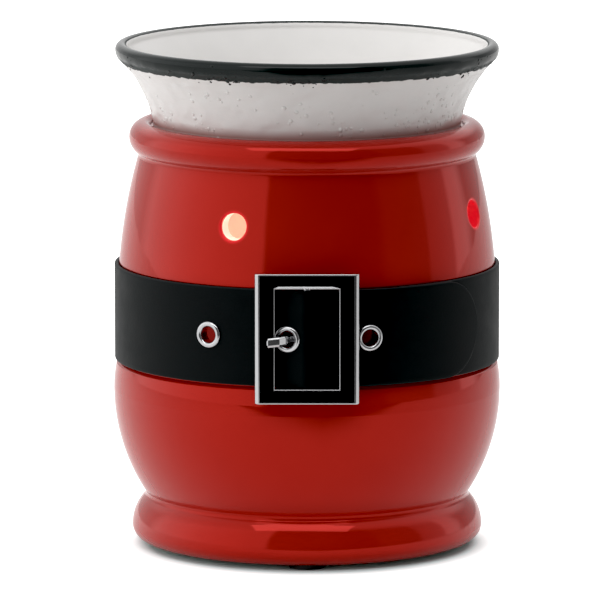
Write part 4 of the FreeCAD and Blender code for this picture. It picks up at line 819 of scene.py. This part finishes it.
aside = node(tree, "ShaderNodeMath", {0: split.outputs["X"]}, operation="ABSOLUTE")
wedge = node(
    tree,
    "ShaderNodeMath",
    {0: aside.outputs[0], 1: WEDGE_SPREAD, 2: split.outputs["Y"]},
    operation="MULTIPLY_ADD",
)
in_light = node(
    tree,
    "ShaderNodeMapRange",
    {"Value": wedge.outputs[0], "From Min": WEDGE_EDGE, "From Max": WEDGE_END},
    interpolation_type="SMOOTHSTEP",
)
right_dim = node(
    tree,
    "ShaderNodeMapRange",
    {
        "Value": split.outputs["X"],
        "From Min": RIGHT_START,
        "From Max": RIGHT_END,
        "To Min": 1.0,
        "To Max": RIGHT_SHARE,
    },
)
paper_share = node(
    tree, "ShaderNodeMath", {0: in_light.outputs[0], 1: right_dim.outputs[0]}, operation="MULTIPLY"
).outputs[0]
tone = node(
    tree, "ShaderNodeMix", {0: paper_share, 6: paint("#484848"), 7: paint("#f0f0ef")}, data_type="RGBA"
)
light_path = node(tree, "ShaderNodeLightPath").outputs
bounced = node(
    tree,
    "ShaderNodeMapRange",
    {"Value": light_path["Is Diffuse Ray"], "To Min": GLOSSY_LIGHT, "To Max": DIFFUSE_LIGHT},
)
spent = node(tree, "ShaderNodeMath", {0: bounced.outputs[0], 1: paper_share}, operation="MULTIPLY")
seen = node(
    tree, "ShaderNodeMix", {0: light_path["Is Camera Ray"], 2: spent.outputs[0], 3: CAMERA_LIGHT}, data_type="FLOAT"
)
lift = node(tree, "ShaderNodeMapRange", {"Value": reach, "From Min": SHADOW_DARK * MM, "From Max": SHADOW_END * MM})
# The paper near the foot is tinted cyan, a painted tint that cancels the pink of the pot's red light thrown on it.
near_foot = node(
    tree, "ShaderNodeMix", {0: lift.outputs[0], 6: paint("#d4e6e6"), 7: tone.outputs[2]}, data_type="RGBA"
)
lit = node(tree, "ShaderNodeMath", {0: lift.outputs[0], 1: seen.outputs[0]}, operation="MULTIPLY")
tree.links.new(near_foot.outputs[2], shader.inputs["Base Color"])
tree.links.new(lit.outputs[0], shader.inputs["Emission Strength"])
shader.inputs["Roughness"].default_value = 0.9
shader.inputs["Specular IOR Level"].default_value = 0.0
shader.inputs["Emission Color"].default_value = paint("#ffffff")
floor.data.materials.append(paper)

# Soft box: long and narrow, high in front of the pot, a little to the left, and aimed at it.
LAMP_PLACE, LAMP_AIM = Vector((-0.05, -0.62, 1.12)), Vector((0, 0, 0.1))
lamp = bpy.data.lights.new("top_light", "AREA")
lamp.shape = "RECTANGLE"
lamp.size, lamp.size_y = 1.2, 0.42
lamp.energy = 3.2
top_light = linked("top_light", lamp)
top_light.location = LAMP_PLACE
top_light.rotation_euler = (LAMP_AIM - LAMP_PLACE).to_track_quat("-Z", "Y").to_euler()

# Degrees from the camera, left to right, and how bright the panels are there.
PANELS = [(-180, 0.9), (-165, 0.8), (-150, 0.75), (-138, 0.75), (-128, 0.8), (-118, 1.4), (-92, 1.6), (-55, 1.4)]
PANELS += [(-28, 1.25), (-25, 0.2), (0, 0.13), (45, 0.13), (52, 0.3), (80, 0.3), (83, 0.6), (103, 0.7)]
PANELS += [(106, 1.25), (118, 1.1), (126, 0.45), (155, 0.5), (180, 0.9)]
BRIGHTEST = 4.0
# The ceiling starts above the panels, lower at the back than in front, and is even all over.
CEILING, CEILING_LEAN, CEILING_START, CEILING_FULL = 1.15, 0.35, 0.5, 0.7
world = bpy.data.worlds.new("studio")
world.use_nodes = True
scene.world = world
tree = world.node_tree
way = node(tree, "ShaderNodeSeparateXYZ", {0: node(tree, "ShaderNodeTexCoord").outputs["Generated"]})
towards = node(tree, "ShaderNodeMath", {0: way.outputs["Y"], 1: -1.0}, operation="MULTIPLY")
turn = node(tree, "ShaderNodeMath", {0: way.outputs["X"], 1: towards.outputs[0]}, operation="ARCTAN2")
turn_share = node(
    tree, "ShaderNodeMapRange", {"Value": turn.outputs[0], "From Min": -math.pi, "From Max": math.pi}
)
ring = node(tree, "ShaderNodeFloatCurve", {"Value": turn_share.outputs[0]})
curve = ring.mapping.curves[0]
curve.points[0].location = (0, PANELS[0][1] / BRIGHTEST)
curve.points[1].location = (1, PANELS[-1][1] / BRIGHTEST)
for degrees, bright in PANELS[1:-1]:
    curve.points.new(degrees / 360 + 0.5, bright / BRIGHTEST)
for point in curve.points:
    point.handle_type = "VECTOR"
ring.mapping.update()
panels = node(tree, "ShaderNodeMath", {0: ring.outputs[0], 1: BRIGHTEST}, operation="MULTIPLY")
leaned = node(
    tree, "ShaderNodeMath", {0: way.outputs["Y"], 1: CEILING_LEAN, 2: way.outputs["Z"]}, operation="MULTIPLY_ADD"
)
above = node(
    tree,
    "ShaderNodeMapRange",
    {"Value": leaned.outputs[0], "From Min": CEILING_START, "From Max": CEILING_FULL},
    interpolation_type="SMOOTHSTEP",
)
strength = node(
    tree, "ShaderNodeMix", {0: above.outputs[0], 2: panels.outputs[0], 3: CEILING}, data_type="FLOAT"
)
in_view = node(tree, "ShaderNodeLightPath").outputs["Is Camera Ray"]
shown = node(tree, "ShaderNodeMix", {0: in_view, 2: strength.outputs[0], 3: 1.0}, data_type="FLOAT")
tree.links.new(shown.outputs[0], tree.nodes["Background"].inputs["Strength"])
tree.nodes["Background"].inputs["Color"].default_value = paint("#ffffff")

# Camera: a long lens that looks slightly down, square to the buckle, with the object a little right of the middle.
# The darkest tones are cut to black.
FROM, AT = Vector((0, -2.188, 0.4095)), Vector((0, 0, 0.0735))
HALF_WIDTH, IMAGE_WIDTH, PIXELS_ASIDE, BLACKS = 0.0906, 600, 7, 0.01
lens = bpy.data.cameras.new("camera")
lens.sensor_fit = "HORIZONTAL"
lens.angle = 2 * math.atan(HALF_WIDTH / (AT - FROM).length)
lens.shift_x = -PIXELS_ASIDE / IMAGE_WIDTH
lens.clip_end = 20
camera = linked("camera", lens)
camera.location = FROM
camera.rotation_euler = (AT - FROM).to_track_quat("-Z", "Y").to_euler()
scene.camera = camera
scene.view_settings.view_transform = "Standard"
scene.view_settings.use_curve_mapping = True
scene.view_settings.curve_mapping.black_level = (BLACKS, BLACKS, BLACKS)
scene.view_settings.curve_mapping.update()
